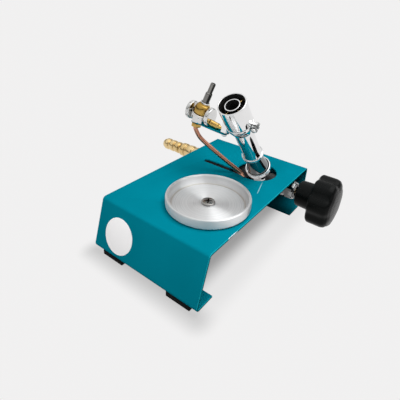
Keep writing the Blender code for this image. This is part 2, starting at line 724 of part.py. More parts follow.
def make_pilot_parts(mats, seat, axis):
    left = BLOCK_RIGHT + GAP
    right = left + PLUG_L
    profile = [(0.0, left), (PLUG_R - 0.5, left), (PLUG_R, left + 0.5), (PLUG_R, right - 0.5)]
    profile += [(PLUG_R - 0.5, right), (0.0, right)]
    plug = turned("pilot_plug", profile, 26, mats["nickel"], axis)
    start = (left - 1.0, 0.0, JET_Z)
    cut(plug, side_rod("jet_way", start, (1, 0, 0), PLUG_L + 2.0, 1.1, 10, mats["nickel"], seat))
    jet = frame("jet_frame", seat, (0.0, 0.0, JET_Z), (0.0, math.pi / 2.0, 0.0))
    face = right + GAP
    neck = face + JET_L
    tip = neck + JET_CONE
    profile = [(0.0, BLOCK_RIGHT - 3.0), (0.8, BLOCK_RIGHT - 3.0), (0.8, face), (JET_R, face)]
    profile += [(JET_R, neck), (JET_R * 0.7, neck + 0.6), (0.9, tip), (0.0, tip)]
    turned("pilot_jet", profile, 18, mats["brass"], jet)
    right = BLOCK_LEFT - GAP
    profile = [(0.0, right - DISC_L), (DISC_R - 0.7, right - DISC_L), (DISC_R, right - DISC_L + 0.7)]
    profile += [(DISC_R, right - 0.7), (DISC_R - 0.7, right), (1.1 + GAP, right), (1.1 + GAP, right - 2.0)]
    profile += [(0.0, right - 2.0)]
    turned("pilot_knob", profile, 26, mats["nickel"], axis)
    tip = BLOCK_LEFT + 3.0
    end = right - 2.0 + GAP
    profile = [(0.0, tip), (1.1, tip - 1.8), (1.1, end), (0.0, end)]
    turned("pilot_spindle", profile, 12, mats["brass"], axis)


def make_nozzle(mats, place):
    low = DOME_LOW
    top = DOME_LOW + DOME_H
    hole = NOZZLE_R + GAP
    profile = [(hole, low), (DOME_R - 0.4, low), (DOME_R, low + 0.5), (DOME_R, low + 2.8)]
    profile += [(DOME_R * 0.93, low + 4.8), (DOME_R * 0.80, low + 6.6), (NOZZLE_R + 1.2, top), (hole, top)]
    turned("pilot_nut", profile, 26, mats["brass"], place)
    ring = [(hole, top + GAP), (NOZZLE_R + 1.1, top + GAP), (NOZZLE_R + 0.9, top + 1.2), (hole, top + 1.2)]
    turned("pilot_ferrule", ring, 22, mats["nickel"], place)
    profile = [(1.2, low), (NOZZLE_R, low), (NOZZLE_R, NOZZLE_STEP - 0.6), (NOZZLE_R - 0.3, NOZZLE_STEP)]
    profile += [(NOZZLE_TIP_R, NOZZLE_STEP), (NOZZLE_TIP_R, NOZZLE_H - 0.3), (NOZZLE_TIP_R - 0.3, NOZZLE_H)]
    profile += [(1.2, NOZZLE_H)]
    turned("pilot_nozzle", profile, 20, mats["steel"], place)


def make_inlet(mats, seat):
    place = frame("inlet_frame", seat, (INLET_X, 0.0, 0.0))
    top = -ARM_T - GAP
    nut = hexagon("pilot_inlet", INLET_R, top - INLET_L, top, mats["brass"], place)
    join(nut, rod("inlet_stub", 2.1, top - 1.0, PILOT_AXIS - 3.0, 14, mats["brass"], place))
    hole = COPPER_R + 2.0 * GAP
    cut(nut, rod("inlet_hole", hole, top - INLET_L - 1.0, top - 1.4, 14, mats["brass"], place))
    return place


def make_takeoff(mat, parent):
    spot = (TAKEOFF_X, GAS_Y, GAS_Z)
    place = frame("takeoff_frame", parent, spot, (math.pi / 2.0, 0.0, 0.0))
    low = BODY_R + GAP
    nut = hexagon("pilot_takeoff", INLET_R, low, low + 6.5, mat, place)
    join(nut, rod("takeoff_stub", 2.3, 4.0, low + 1.0, 14, mat, place))
    cut(nut, rod("takeoff_hole", COPPER_R + GAP, low + 3.0, low + 8.0, 14, mat, place))
    return place


def spline(points, per_span):
    ends = [points[0] * 2.0 - points[1]] + points + [points[-1] * 2.0 - points[-2]]
    path = []
    for i in range(1, len(ends) - 2):
        a, b, c, d = ends[i - 1:i + 3]
        for k in range(per_span):
            t = k / per_span
            p = b * 2.0 + (c - a) * t + (a * 2.0 - b * 5.0 + c * 4.0 - d) * t * t
            p += (b * 3.0 - a - c * 3.0 + d) * t * t * t
            path.append(p * 0.5)
    path.append(points[-1])
    return path


def make_copper_tube(mat, parent, inlet, takeoff):
    home = parent.matrix_world.inverted()
    first = home @ inlet.matrix_world
    last = home @ takeoff.matrix_world
    start = -ARM_T - GAP - 1.4 - GAP
    end = BODY_R + GAP + 3.0 + GAP
    points = []
    for drop in (0.0, 1.8, 3.6):
        points.append((first @ Vector((0.0, 0.0, (start - drop) * MM))) / MM)
    mouth = Vector((9.6, SLOT_FRONT + 3.4, -SHEET_T / 2.0))
    lift = points[2].z
    for share, sag in ((0.10, -3.4), (0.34, -3.0), (0.66, -1.6)):
        p = points[2].lerp(mouth, share)
        p.z += sag * lift / 36.0
        points.append(p)
    points.append(mouth)
    for out in (6.6, 3.6, 0.0):
        points.append((last @ Vector((0.0, 0.0, (end + out) * MM))) / MM)
    path = spline(points, 4)
    bm = bmesh.new()
    rings = []
    side = Vector((0.0, 1.0, 0.0))
    for i, p in enumerate(path):
        along = (path[min(i + 1, len(path) - 1)] - path[max(i - 1, 0)]).normalized()
        side = (side - along * side.dot(along)).normalized()
        other = along.cross(side)
        ring = []
        for k in range(9):
            a = 2.0 * math.pi * k / 9
            ring.append(p + side * COPPER_R * math.cos(a) + other * COPPER_R * math.sin(a))
        rings.append(ring)
    loops = skin(bm, rings, False)
    bm.faces.new(loops[0])
    bm.faces.new(loops[-1])
    return solid("pilot_tube", bm, mat, parent)


def make_materials():
    mats = {}
    mats["teal"] = finish("teal_paint", (0.0, 0.24, 0.30), 0.30, 0.0)
    mats["chrome"] = finish("chrome", (0.80, 0.81, 0.82), 0.08, 1.0)
    mats["nickel"] = finish("nickel_plate", (0.66, 0.65, 0.62), 0.22, 1.0)
    mats["brass"] = finish("brass", (0.72, 0.50, 0.20), 0.28, 1.0)
    mats["copper"] = finish("copper", (0.66, 0.34, 0.22), 0.30, 1.0)
    mats["steel"] = finish("steel", (0.50, 0.50, 0.50), 0.30, 1.0)
    mats["dark"] = finish("dark_steel", (0.06, 0.06, 0.06), 0.45, 1.0)
    mats["aluminium"] = finish("turned_aluminium", (0.80, 0.81, 0.82), 0.32, 1.0)
    mats["black"] = finish("black_plastic", (0.012, 0.012, 0.013), 0.45, 0.0)
    mats["rubber"] = finish("black_rubber", (0.015, 0.015, 0.015), 0.80, 0.0)
    return mats


def make_all():
    clear_scene()
    mats = make_materials()
    section = base_section()
    middle_y = (min(p.x for p in section) + max(p.x for p in section)) / 2.0
    middle_x = (TAIL_TIP + KNOB_FACE) / 2.0
    root = frame("root", None, (-middle_x, -middle_y, LEG_H + GAP + FOOT_T))
    make_base(mats["teal"], root)
    make_feet(mats["rubber"], root)
    make_dish(mats, root)
    gas = frame("gas_axis", root, (0.0, GAS_Y, GAS_Z), (0.0, math.pi / 2.0, 0.0))
    make_hanger(mats, root, gas)
    tail_end = make_hose_tail(mats["brass"], gas)
    make_supply_pipe(mats["dark"], gas, tail_end)
    make_valve_body(mats["nickel"], gas, root)
    make_gland(mats, gas)
    make_spindle(mats["brass"], gas)
    make_knob(mats, gas)

    foot = Vector((BURNER_X, GAS_Y, GAS_Z))
    turn = (math.radians(BURNER_TILT), -math.radians(BURNER_LEAN), 0.0)
    burner = frame("burner_axis", root, foot, turn)
    make_stem(mats, burner)
    make_air_collar(mats["chrome"], burner)
    make_neck(mats["chrome"], burner)
    make_tube(mats["chrome"], burner)
    make_cup(mats["chrome"], burner)
    make_spider(mats["brass"], burner)

    spot = foot + burner_direction() * ARM_MID
    pilot = frame("pilot_frame", root, spot, (-math.radians(ARM_DIP), math.radians(ARM_SLOPE), 0.0))
    post_mid = make_clamp(mats, burner, pilot)
    rise = math.radians(ARM_RISE)
    bend = (ARM_BEND + ARM_T * math.sin(rise), 0.0, ARM_BOTTOM + ARM_T * math.cos(rise))
    seat = frame("pilot_seat", pilot, bend, (0.0, rise, 0.0))
    arm = make_arm(mats["teal"], pilot)
    start = (INLET_X, 0.0, -5.0)
    cut(arm, side_rod("arm_inlet_hole", start, (0, 0, 1), 10.0, 2.4, 14, mats["teal"], seat))
    start = (post_mid, 0.0, ARM_BOTTOM - 3.0)
    cut(arm, side_rod("arm_screw_hole", start, (0, 0, 1), 8.0, 1.5, 14, mats["teal"], pilot))
    spot = (NOZZLE_X, 0.0, BLOCK_TOP)
    nozzle = frame("nozzle_frame", seat, spot, (0.0, math.radians(NOZZLE_TILT), 0.0))
    make_pilot_block(mats, seat, nozzle)
    axis = frame("pilot_axis", seat, (0.0, 0.0, PILOT_AXIS), (0.0, math.pi / 2.0, 0.0))
    make_pilot_parts(mats, seat, axis)
    make_nozzle(mats, nozzle)
    inlet = make_inlet(mats, seat)
    takeoff = make_takeoff(mats["brass"], root)
    make_copper_tube(mats["copper"], root, inlet, takeoff)


make_all()
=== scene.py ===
# %% [markdown]
# # A bench gas burner with a pilot light
# A bent teal sheet carries a tilted burner, its gas valve, a small pilot light and a turned dish.
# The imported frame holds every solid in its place. Bare solids would look like a model kit, so they serve
# as the guide, and this lesson adds what a camera sees: soft edges, knurls, finishes, light and a view.

# %% Load the frame
import bpy
import bmesh
import json
from math import cos, pi, radians, sin, tan
from mathutils import Euler, Matrix, Vector


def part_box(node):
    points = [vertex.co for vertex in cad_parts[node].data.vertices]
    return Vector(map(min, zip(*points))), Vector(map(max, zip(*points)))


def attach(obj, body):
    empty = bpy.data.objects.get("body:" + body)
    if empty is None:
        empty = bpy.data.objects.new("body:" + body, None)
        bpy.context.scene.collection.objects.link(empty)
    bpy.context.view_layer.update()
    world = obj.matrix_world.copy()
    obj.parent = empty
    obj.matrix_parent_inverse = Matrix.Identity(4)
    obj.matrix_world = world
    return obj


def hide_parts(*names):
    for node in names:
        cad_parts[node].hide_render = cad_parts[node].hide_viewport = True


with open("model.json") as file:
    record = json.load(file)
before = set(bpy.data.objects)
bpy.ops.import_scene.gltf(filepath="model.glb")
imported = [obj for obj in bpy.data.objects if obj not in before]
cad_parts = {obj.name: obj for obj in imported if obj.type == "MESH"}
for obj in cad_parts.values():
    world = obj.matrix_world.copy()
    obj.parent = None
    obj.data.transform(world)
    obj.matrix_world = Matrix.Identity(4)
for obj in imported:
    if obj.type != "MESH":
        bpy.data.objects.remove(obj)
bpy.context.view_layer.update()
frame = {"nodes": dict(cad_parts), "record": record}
print("nodes", len(frame["nodes"]))

# %% [markdown]
# ## Where things are
# The gas line runs left to right, the burner leans on it, and the pilot hangs on the burner.
# World numbers would do, but a chain of matrices gives each place from the one before it.
# Sizes are in millimetres. A piece is drawn with its axis along Z, then moved to the world in metres.

# %% Places
MM = 0.001
HALF_W = 50.0
HALF_D = 76.0
GAS_Y = 46.7
GAS_Z = -10.7
TILT = radians(33.95)
LEAN = radians(3.87)
RISE = radians(2.0)
ARM_LOW = -12.1
ARM_BEND = -22.4
BODY_X = -14.4


def place(parent, spot, turn=(0.0, 0.0, 0.0)):
    return parent @ Matrix.Translation(spot) @ Euler(turn).to_matrix().to_4x4()


plate_low, plate_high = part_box("base_plate")
middle_x = (plate_low[0] + plate_high[0]) / 2 / MM
ROOT = Matrix.Translation((middle_x, plate_high[1] / MM - HALF_D, plate_high[2] / MM))
GAS = place(ROOT, (0.0, GAS_Y, GAS_Z), (0.0, pi / 2, 0.0))
DISH = place(ROOT, (16.2, -32.8, 0.0))
BURNER = place(ROOT, (20.7, GAS_Y, GAS_Z), (TILT, -LEAN, 0.0))
TAKEOFF = place(ROOT, (9.0, GAS_Y, GAS_Z), (pi / 2, 0.0, 0.0))
ARM_RING = Matrix.Translation(BURNER @ Vector((0.0, 0.0, 78.2)))
PILOT = place(ARM_RING, (0.0, 0.0, 0.0), (-radians(8.0), radians(4.0), 0.0))
SEAT = place(PILOT, (ARM_BEND + sin(RISE), 0.0, ARM_LOW + cos(RISE)), (0.0, RISE, 0.0))
VALVE = place(SEAT, (0.0, 0.0, 7.7), (0.0, pi / 2, 0.0))
JET = place(SEAT, (0.0, 0.0, 3.1), (0.0, pi / 2 + radians(4.0), 0.0))
NOZZLE = place(SEAT, (BODY_X, 0.0, 9.2), (0.0, radians(12.5), 0.0))
INLET = place(SEAT, (-16.4, 0.0, 0.0))
CLAMP_SCREW = place(BURNER, (12.95, 0.0, 77.7), (-pi / 2, 0.0, 0.0))
print("root", [round(v, 2) for v in ROOT.translation])

# %% [markdown]
# ## Finishes
# Real plating has a fine grain, and brass and copper turn patchy. Each material could have its own noise.
# One shared group is easier to change. Object coordinates keep its pattern on a piece that a joint moves.

# %% A shared grain group
PATCH_SCALE = 38.0
BUMP_DEPTH = 0.0002


def made(tree, kind, values):
    node = tree.nodes.new(kind)
    for name, value in values.items():
        node.inputs[name].default_value = value
    return node


def grain_group():
    tree = bpy.data.node_groups.new("fine_grain", "ShaderNodeTree")
    for name, value in (("Scale", 400.0), ("Height", 0.05)):
        socket = tree.interface.new_socket(name, in_out="INPUT", socket_type="NodeSocketFloat")
        socket.default_value = value
    for name, kind in (("Fine", "Float"), ("Patchy", "Float"), ("Normal", "Vector")):
        tree.interface.new_socket(name, in_out="OUTPUT", socket_type="NodeSocket" + kind)
    start = tree.nodes.new("NodeGroupInput")
    end = tree.nodes.new("NodeGroupOutput")
    where = tree.nodes.new("ShaderNodeTexCoord")
    fine = made(tree, "ShaderNodeTexNoise", {"Detail": 4.0})
    patchy = made(tree, "ShaderNodeTexNoise", {"Scale": PATCH_SCALE, "Detail": 5.0})
    bump = made(tree, "ShaderNodeBump", {"Distance": BUMP_DEPTH})
    tree.links.new(where.outputs["Object"], fine.inputs["Vector"])
    tree.links.new(where.outputs["Object"], patchy.inputs["Vector"])
    tree.links.new(start.outputs["Scale"], fine.inputs["Scale"])
    tree.links.new(start.outputs["Height"], bump.inputs["Strength"])
    tree.links.new(fine.outputs["Fac"], bump.inputs["Height"])
    tree.links.new(fine.outputs["Fac"], end.inputs["Fine"])
    tree.links.new(patchy.outputs["Fac"], end.inputs["Patchy"])
    tree.links.new(bump.outputs["Normal"], end.inputs["Normal"])
    return tree


GRAIN = grain_group()
print("grain sockets", [s.name for s in GRAIN.interface.items_tree])

# %% [markdown]
# ### Node helpers
# A finish fades values, mixes tones and does sums. Nodes could be placed by hand, but functions read better.

# %% Node helpers


def ramp(tree, source, low_at, high_at, low_value, high_value):
    values = {"From Min": low_at, "From Max": high_at, "To Min": low_value, "To Max": high_value}
    node = made(tree, "ShaderNodeMapRange", values)
    node.interpolation_type = "SMOOTHSTEP"
    tree.links.new(source, node.inputs["Value"])
    return node.outputs["Result"]


def two_tone(tree, mask, one, two):
    node = tree.nodes.new("ShaderNodeMix")
    node.data_type = "RGBA"
    for socket, value in (("A", one), ("B", two)):
        if isinstance(value, tuple):
            node.inputs[socket].default_value = (*value, 1.0)
        else:
            tree.links.new(value, node.inputs[socket])
    tree.links.new(mask, node.inputs["Factor"])
    return node.outputs["Result"]


def figure(tree, kind, a, b=0.0):
    node = tree.nodes.new("ShaderNodeMath")
    node.operation = kind
    for socket, value in zip(node.inputs, (a, b)):
        if isinstance(value, (int, float)):
            socket.default_value = value
        else:
            tree.links.new(value, socket)
    return node.outputs[0]


print("node helpers ready")

# %% [markdown]
# ### Metal, plastic and rubber
# These finishes differ in tone, roughness and grain. Separate trees would hide that they are one recipe,
# so one function builds them all from a dark tone, a light tone, roughness, metal and grain.
# Plastic and rubber have a low specular level, so that they stay black.

# %% Plain finishes
LOOK = {}
BLACK_SHINE = 0.09


def grey(value):
    return (value, value, value)


def look(name, dark, light, rough, metal, grain):
    mat = bpy.data.materials.new(name)
    mat.use_nodes = True
    tree = mat.node_tree
    shader = tree.nodes["Principled BSDF"]
    group = tree.nodes.new("ShaderNodeGroup")
    group.node_tree = GRAIN
    group.inputs["Scale"].default_value = grain[0]
    group.inputs["Height"].default_value = grain[1]
    shader.inputs["Metallic"].default_value = metal
    tone = two_tone(tree, ramp(tree, group.outputs["Patchy"], 0.3, 0.7, 0.0, 1.0), dark, light)
    tree.links.new(tone, shader.inputs["Base Color"])
    uneven = ramp(tree, group.outputs["Fine"], 0.3, 0.7, rough[0], rough[1])
    tree.links.new(uneven, shader.inputs["Roughness"])
    tree.links.new(group.outputs["Normal"], shader.inputs["Normal"])
    return mat, tree, shader, group, tone


def plain(slot, name, *values):
    LOOK[slot] = look(name, *values)[0]


plain("chrome", "look_chrome", grey(0.82), grey(0.88), (0.03, 0.06), 1.0, (300.0, 0.003))
nickel_tones = ((0.62, 0.62, 0.61), (0.78, 0.78, 0.77))
plain("nickel_plate", "look_nickel", *nickel_tones, (0.10, 0.18), 1.0, (700.0, 0.02))
plain("steel", "look_steel", (0.20, 0.195, 0.19), (0.50, 0.49, 0.47), (0.14, 0.26), 1.0, (900.0, 0.05))
# Dark steel is near black; on the pilot takeoff and in the dish screw's recess it is painted shade.
plain("dark_steel", "look_dark_steel", grey(0.010), grey(0.03), (0.4, 0.6), 1.0, (900.0, 0.1))
plain("brass", "look_brass", (0.70, 0.50, 0.22), (0.90, 0.72, 0.42), (0.18, 0.30), 1.0, (800.0, 0.05))
plain("copper", "look_copper", (0.44, 0.19, 0.12), (0.72, 0.37, 0.25), (0.20, 0.32), 1.0, (700.0, 0.05))
knob_tones = ((0.0015, 0.002, 0.002), (0.003, 0.0035, 0.0035))
plain("black_plastic", "look_plastic", *knob_tones, (0.24, 0.34), 0.0, (900.0, 0.10))
plain("black_rubber", "look_rubber", grey(0.002), grey(0.005), (0.7, 0.9), 0.0, (1200.0, 0.3))
plain("label", "look_label", (0.92, 0.91, 0.91), (0.95, 0.94, 0.94), (0.45, 0.55), 0.0, (1500.0, 0.05))
old_tones = ((0.40, 0.24, 0.05), (0.72, 0.50, 0.17))
plain("old_brass", "look_old_brass", *old_tones, (0.14, 0.26), 1.0, (800.0, 0.05))
# Shaded chrome is a darker copy of the chrome: painted shade in the reflections of the neck, the clamp's
# ears and the gland nut.
shaded_chrome_tones = ((0.20, 0.21, 0.21), (0.32, 0.33, 0.33))
plain("shaded_chrome", "look_shaded_chrome", *shaded_chrome_tones, (0.05, 0.10), 1.0, (500.0, 0.02))
plain("soot", "look_soot", grey(0.002), (0.008, 0.007, 0.006), (0.6, 0.9), 0.0, (900.0, 0.2))
for name in ("black_plastic", "black_rubber"):
    LOOK[name].node_tree.nodes["Principled BSDF"].inputs["Specular IOR Level"].default_value = BLACK_SHINE
print("plain finishes", len(LOOK))

# %% [markdown]
# ### Teal paint
# The sheet's paint is smooth, with small chips and a faint pale line in front of the hole. Its right edge is
# paler, partly as rubbed paint and partly as a painted highlight.
# These marks could be drawn on a picture, but that needs a UV map. Here they follow from where a point lies.

# %% Paint with chips, a pale line and a painted edge highlight
RUBBED_AND_HIGHLIT = (0.02, 0.52, 0.62)
PALE_LINE_TONE = (0.45, 0.70, 0.74)
CHIPPED = (0.70, 0.80, 0.82)
CHIP_LEVEL = 1.37
RIGHT_EDGE = (ROOT.translation.x + HALF_W) * MM
PALE_LINE_SIDE = (0.959, 0.284, 0.0)


def here(tree):
    return tree.nodes.new("ShaderNodeTexCoord").outputs["Object"]


def axes(tree):
    split = tree.nodes.new("ShaderNodeSeparateXYZ")
    tree.links.new(here(tree), split.inputs["Vector"])
    return split.outputs


def noise(tree, scale, detail):
    node = made(tree, "ShaderNodeTexNoise", {"Scale": scale, "Detail": detail})
    tree.links.new(here(tree), node.inputs["Vector"])
    return node.outputs["Fac"]


def vector(tree, kind, point, other=(0.0, 0.0, 0.0)):
    node = tree.nodes.new("ShaderNodeVectorMath")
    node.operation = kind
    node.inputs[1].default_value = other
    tree.links.new(point, node.inputs[0])
    return node.outputs["Value" if kind in ("DOT_PRODUCT", "LENGTH") else "Vector"]


def chips(tree, x, y):
    near = ramp(tree, x, RIGHT_EDGE - 0.0014, RIGHT_EDGE, 0.0, 1.0)
    front = ramp(tree, y, -0.062, -0.046, 0.35, 1.0)
    behind = ramp(tree, y, -0.046, -0.030, 1.0, 0.45)
    wear = figure(tree, "MULTIPLY", near, figure(tree, "MULTIPLY", front, behind))
    return figure(tree, "GREATER_THAN", figure(tree, "ADD", wear, noise(tree, 620.0, 3.0)), CHIP_LEVEL)


# A faint pale line runs forward in front of the hole.
def pale_line(tree, y):
    root_x, root_y, _ = ROOT.translation
    line = PALE_LINE_SIDE[0] * (root_x + 31.0) * MM + PALE_LINE_SIDE[1] * (root_y + 24.5) * MM
    reach = vector(tree, "DOT_PRODUCT", here(tree), PALE_LINE_SIDE)
    off = figure(tree, "ABSOLUTE", figure(tree, "SUBTRACT", reach, line))
    thin = ramp(tree, off, 0.00015, 0.0005, 1.0, 0.0)
    begin = ramp(tree, y, (root_y + 4.0) * MM, (root_y + 7.0) * MM, 0.0, 0.8)
    finish = ramp(tree, y, (root_y + 17.0) * MM, (root_y + 26.0) * MM, 0.6, 0.0)
    return figure(tree, "MULTIPLY", thin, figure(tree, "MULTIPLY", begin, finish))


def paint():
    tones = ((0.0003, 0.176, 0.239), (0.0004, 0.187, 0.254))
    mat, tree, shader, _, tone = look("look_paint", *tones, (0.30, 0.40), 0.0, (900.0, 0.05))
    x, y, _ = axes(tree)
    # The paler rim on the right edge is partly rubbed paint and partly a painted highlight.
    rim = ramp(tree, x, RIGHT_EDGE - 0.0006, RIGHT_EDGE - 0.0002, 0.0, 0.5)
    rubbed_and_highlit = two_tone(tree, rim, tone, RUBBED_AND_HIGHLIT)
    marked = two_tone(tree, pale_line(tree, y), rubbed_and_highlit, PALE_LINE_TONE)
    tree.links.new(two_tone(tree, chips(tree, x, y), marked, CHIPPED), shader.inputs["Base Color"])
    shader.inputs["Specular IOR Level"].default_value = 0.0
    return mat


LOOK["teal_paint"] = paint()
print("paint nodes", len(LOOK["teal_paint"].node_tree.nodes))

# %% [markdown]
# ### Turned aluminium
# A lathe leaves fine rings and a highlight stretched across them. Rings are too fine to model,
# so a noise by distance from the dish's middle draws them, and anisotropy stretches the light.
# A faint brown band of painted shade runs round the inside corner.

# %% Turned aluminium
STREAK = (0.80, 0.81, 0.815)
CORNER_SHADE = (0.50, 0.42, 0.33)


def turned_metal():
    tones = ((0.90, 0.91, 0.915), (0.94, 0.95, 0.955))
    mat, tree, shader, group, tone = look("look_aluminium", *tones, (0.44, 0.50), 1.0, (60.0, 0.0))
    tangent = tree.nodes.new("ShaderNodeTangent")
    tangent.direction_type = "RADIAL"
    tangent.axis = "Z"
    shader.inputs["Anisotropic"].default_value = 0.95
    shader.inputs["Anisotropic Rotation"].default_value = 0.25
    tree.links.new(tangent.outputs["Tangent"], shader.inputs["Tangent"])
    from_middle = vector(tree, "SUBTRACT", here(tree), DISH.translation * MM)
    far = vector(tree, "LENGTH", vector(tree, "MULTIPLY", from_middle, (1.0, 1.0, 0.0)))
    rings = made(tree, "ShaderNodeTexNoise", {"Scale": 1400.0, "Detail": 3.0})
    rings.noise_dimensions = "1D"
    tree.links.new(far, rings.inputs["W"])
    streaks = two_tone(tree, ramp(tree, rings.outputs["Fac"], 0.35, 0.65, 0.0, 1.0), tone, STREAK)
    # The band in the inside corner is painted shade.
    inside = ramp(tree, far, 0.0264, 0.0274, 0.0, 0.45)
    outside = ramp(tree, far, 0.0276, 0.0286, 1.0, 0.0)
    corner_shade = two_tone(tree, figure(tree, "MULTIPLY", inside, outside), streaks, CORNER_SHADE)
    tree.links.new(corner_shade, shader.inputs["Base Color"])
    bump = made(tree, "ShaderNodeBump", {"Strength": 0.03, "Distance": BUMP_DEPTH})
    tree.links.new(rings.outputs["Fac"], bump.inputs["Height"])
    tree.links.new(group.outputs["Normal"], bump.inputs["Normal"])
    tree.links.new(bump.outputs["Normal"], shader.inputs["Normal"])
    return mat


LOOK["turned_aluminium"] = turned_metal()
for entry in frame["record"]["subparts"]:
    node = frame["nodes"][entry["node"]]
    node.data.materials.clear()
    node.data.materials.append(LOOK[entry["material_slot"]])

# %% [markdown]
# ### Valve metal
# The valve body is bright at its right end and dark under the hole, where the dark tone is painted shade. It
# could be two pieces, but its solid is one, so a fade along X changes its tone and roughness.

# %% Valve metal
UNDER_PLATE_SHADE = (0.10, 0.10, 0.098)


def valve_metal():
    tones = (grey(0.20), grey(0.30))
    mat, tree, shader, _, tone = look("look_valve", *tones, (0.16, 0.26), 1.0, (700.0, 0.04))
    # Left of this fade the tone turns dark: painted shade under the plate.
    bright = ramp(tree, axes(tree)["X"], 0.040, 0.045, 0.0, 1.0)
    tree.links.new(two_tone(tree, bright, UNDER_PLATE_SHADE, tone), shader.inputs["Base Color"])
    tree.links.new(ramp(tree, bright, 0.0, 1.0, 0.7, 0.2), shader.inputs["Roughness"])
    return mat


frame["nodes"]["valve_body"].data.materials[0] = valve_metal()
# The pilot takeoff under the plate takes near-black steel: painted shade.
frame["nodes"]["pilot_takeoff"].data.materials[0] = LOOK["dark_steel"]
print("valve finish", frame["nodes"]["valve_body"].data.materials[0].name)

# %% [markdown]
# ### Steel darker on one side
# The pilot nozzle is darker on its side towards the burner. Picked faces would have a hard edge,
# so a mask by direction fades round the nozzle, and the fine grain breaks it up.

# %% Steel darker on one side
DARK_SIDE_TONE = (0.012, 0.012, 0.011)
DARK_SIDE_TURN = 0.55


def one_side_dark_steel():
    tones = ((0.20, 0.195, 0.185), (0.40, 0.39, 0.37))
    mat, tree, shader, group, tone = look("look_one_side_dark", *tones, (0.12, 0.22), 1.0, (900.0, 0.05))
    towards = (NOZZLE.to_3x3() @ Vector((cos(DARK_SIDE_TURN), sin(DARK_SIDE_TURN), 0.0))).normalized()
    reach = vector(tree, "DOT_PRODUCT", here(tree), towards)
    middle = NOZZLE.translation.dot(towards) * MM
    side = ramp(tree, reach, middle - 0.0004, middle + 0.0009, 0.0, 1.0)
    patch = ramp(tree, group.outputs["Fine"], 0.25, 0.6, 0.7, 1.0)
    # This mask darkens the nozzle on its side towards the burner.
    dark_side = figure(tree, "MULTIPLY", side, patch)
    tree.links.new(two_tone(tree, dark_side, tone, DARK_SIDE_TONE), shader.inputs["Base Color"])
    return mat


LOOK["one_side_dark_steel"] = one_side_dark_steel()
print("stained nodes", len(LOOK["one_side_dark_steel"].node_tree.nodes))

# %% [markdown]
# ## Tools for shaping
# Most pieces come off a lathe: an outline is spun round an axis. The Screw modifier could spin it,
# but joined rings of points give closed ends at once. Corners are softened, because real edges catch light.

# %% Outlines and turning


def soften(outline, radius, steps=3):
    closed = outline[0][0] > 0.0
    points = [Vector(p) for p in outline]
    count = len(points)
    result = []
    for i, p in enumerate(points):
        if not closed and i in (0, count - 1):
            result.append(p)
            continue
        before = points[i - 1] - p
        after = points[(i + 1) % count] - p
        reach = min(radius, 0.45 * before.length, 0.45 * after.length)
        a = p + before.normalized() * reach
        b = p + after.normalized() * reach
        for k in range(steps + 1):
            t = k / steps
            result.append(a * (1 - t) ** 2 + p * 2 * t * (1 - t) + b * t ** 2)
    return [tuple(p) for p in result]


def skin(bm, rings, closed):
    loops = [[bm.verts.new(p) for p in ring] for ring in rings]
    pairs = list(zip(loops, loops[1:]))
    if closed:
        pairs.append((loops[-1], loops[0]))
    for a, b in pairs:
        span = max(len(a), len(b))
        for i in range(span):
            j = (i + 1) % span
            if len(a) == 1:
                bm.faces.new((a[0], b[j], b[i]))
            elif len(b) == 1:
                bm.faces.new((a[i], a[j], b[0]))
            else:
                bm.faces.new((a[i], a[j], b[j], b[i]))
    return loops


def around(count, z, radius_at):
    ring = []
    for i in range(count):
        a = 2 * pi * i / count
        r = radius_at(a)
        ring.append((r * cos(a), r * sin(a), z))
    return ring


def circle(radius, z, count):
    return around(count, z, lambda a: radius)


def turned(outline, count=96):
    bm = bmesh.new()
    rings = [circle(r, z, count) if r > 0.0 else [(0.0, 0.0, z)] for r, z in outline]
    skin(bm, rings, outline[0][0] > 0.0)
    return bm


def rod(radius, low, high, count=24):
    return turned([(0.0, low), (radius, low), (radius, high), (0.0, high)], count)


print("points on a softened square", len(soften([(1.0, 0.0), (2.0, 0.0), (2.0, 1.0), (1.0, 1.0)], 0.2)))

# %% [markdown]
# ### Blocks, pulled sections and hexagons
# Slots and ears are blocks, the sheet and the arm are sections pulled straight, and nuts are hexagons.
# A nut could be a bevelled six-sided cylinder, but a real one is faced on a lathe: each ring here
# takes the smaller of the hexagon and a turned cone, which gives the curved corner lines.

# %% Blocks, pulled sections and hexagons


def block(low, high):
    bm = bmesh.new()
    bmesh.ops.create_cube(bm, size=1.0)
    size = [b - a for a, b in zip(low, high)]
    middle = [(a + b) / 2 for a, b in zip(low, high)]
    bmesh.ops.scale(bm, vec=size, verts=bm.verts)
    bmesh.ops.translate(bm, vec=middle, verts=bm.verts)
    return bm


def pulled(rings):
    bm = bmesh.new()
    for loop in skin(bm, rings, False):
        bm.faces.new(loop)
    return bm


def hexagon(radius, low, high, hole=0.0, turn=0.0, count=72):
    flat = radius * cos(pi / 6)
    edge = 0.16 * radius
    small = radius - edge

    def side(a):
        return flat / cos((a - turn + pi / 6) % (pi / 3) - pi / 6)

    rings = []
    for z, limit in ((low, small), (low + edge * 0.5, radius), (high - edge * 0.5, radius), (high, small)):
        rings.append(around(count, z, lambda a: min(side(a), limit)))
    if hole > 0.0:
        rings = [circle(hole, low, count)] + rings + [circle(hole, high, count)]
    else:
        rings = [[(0.0, 0.0, low)]] + rings + [[(0.0, 0.0, high)]]
    bm = bmesh.new()
    skin(bm, rings, hole > 0.0)
    return bm


print("shape tools ready")

# %% [markdown]
# ### From shape to piece
# A shape becomes an object, is cut or joined as a maker would drill or braze, and goes to the frame.
# Modifiers could stay live, but the frame takes plain meshes, so each is applied at once.
# The last function gives the piece its finish, hangs it on its body and hides the solids that it stands for.

# %% From shape to piece


def linked(name, data):
    obj = bpy.data.objects.new(name, data)
    bpy.context.scene.collection.objects.link(obj)
    return obj


def meshed(name, bm):
    mesh = bpy.data.meshes.new(name)
    bm.to_mesh(mesh)
    bm.free()
    return linked(name, mesh)


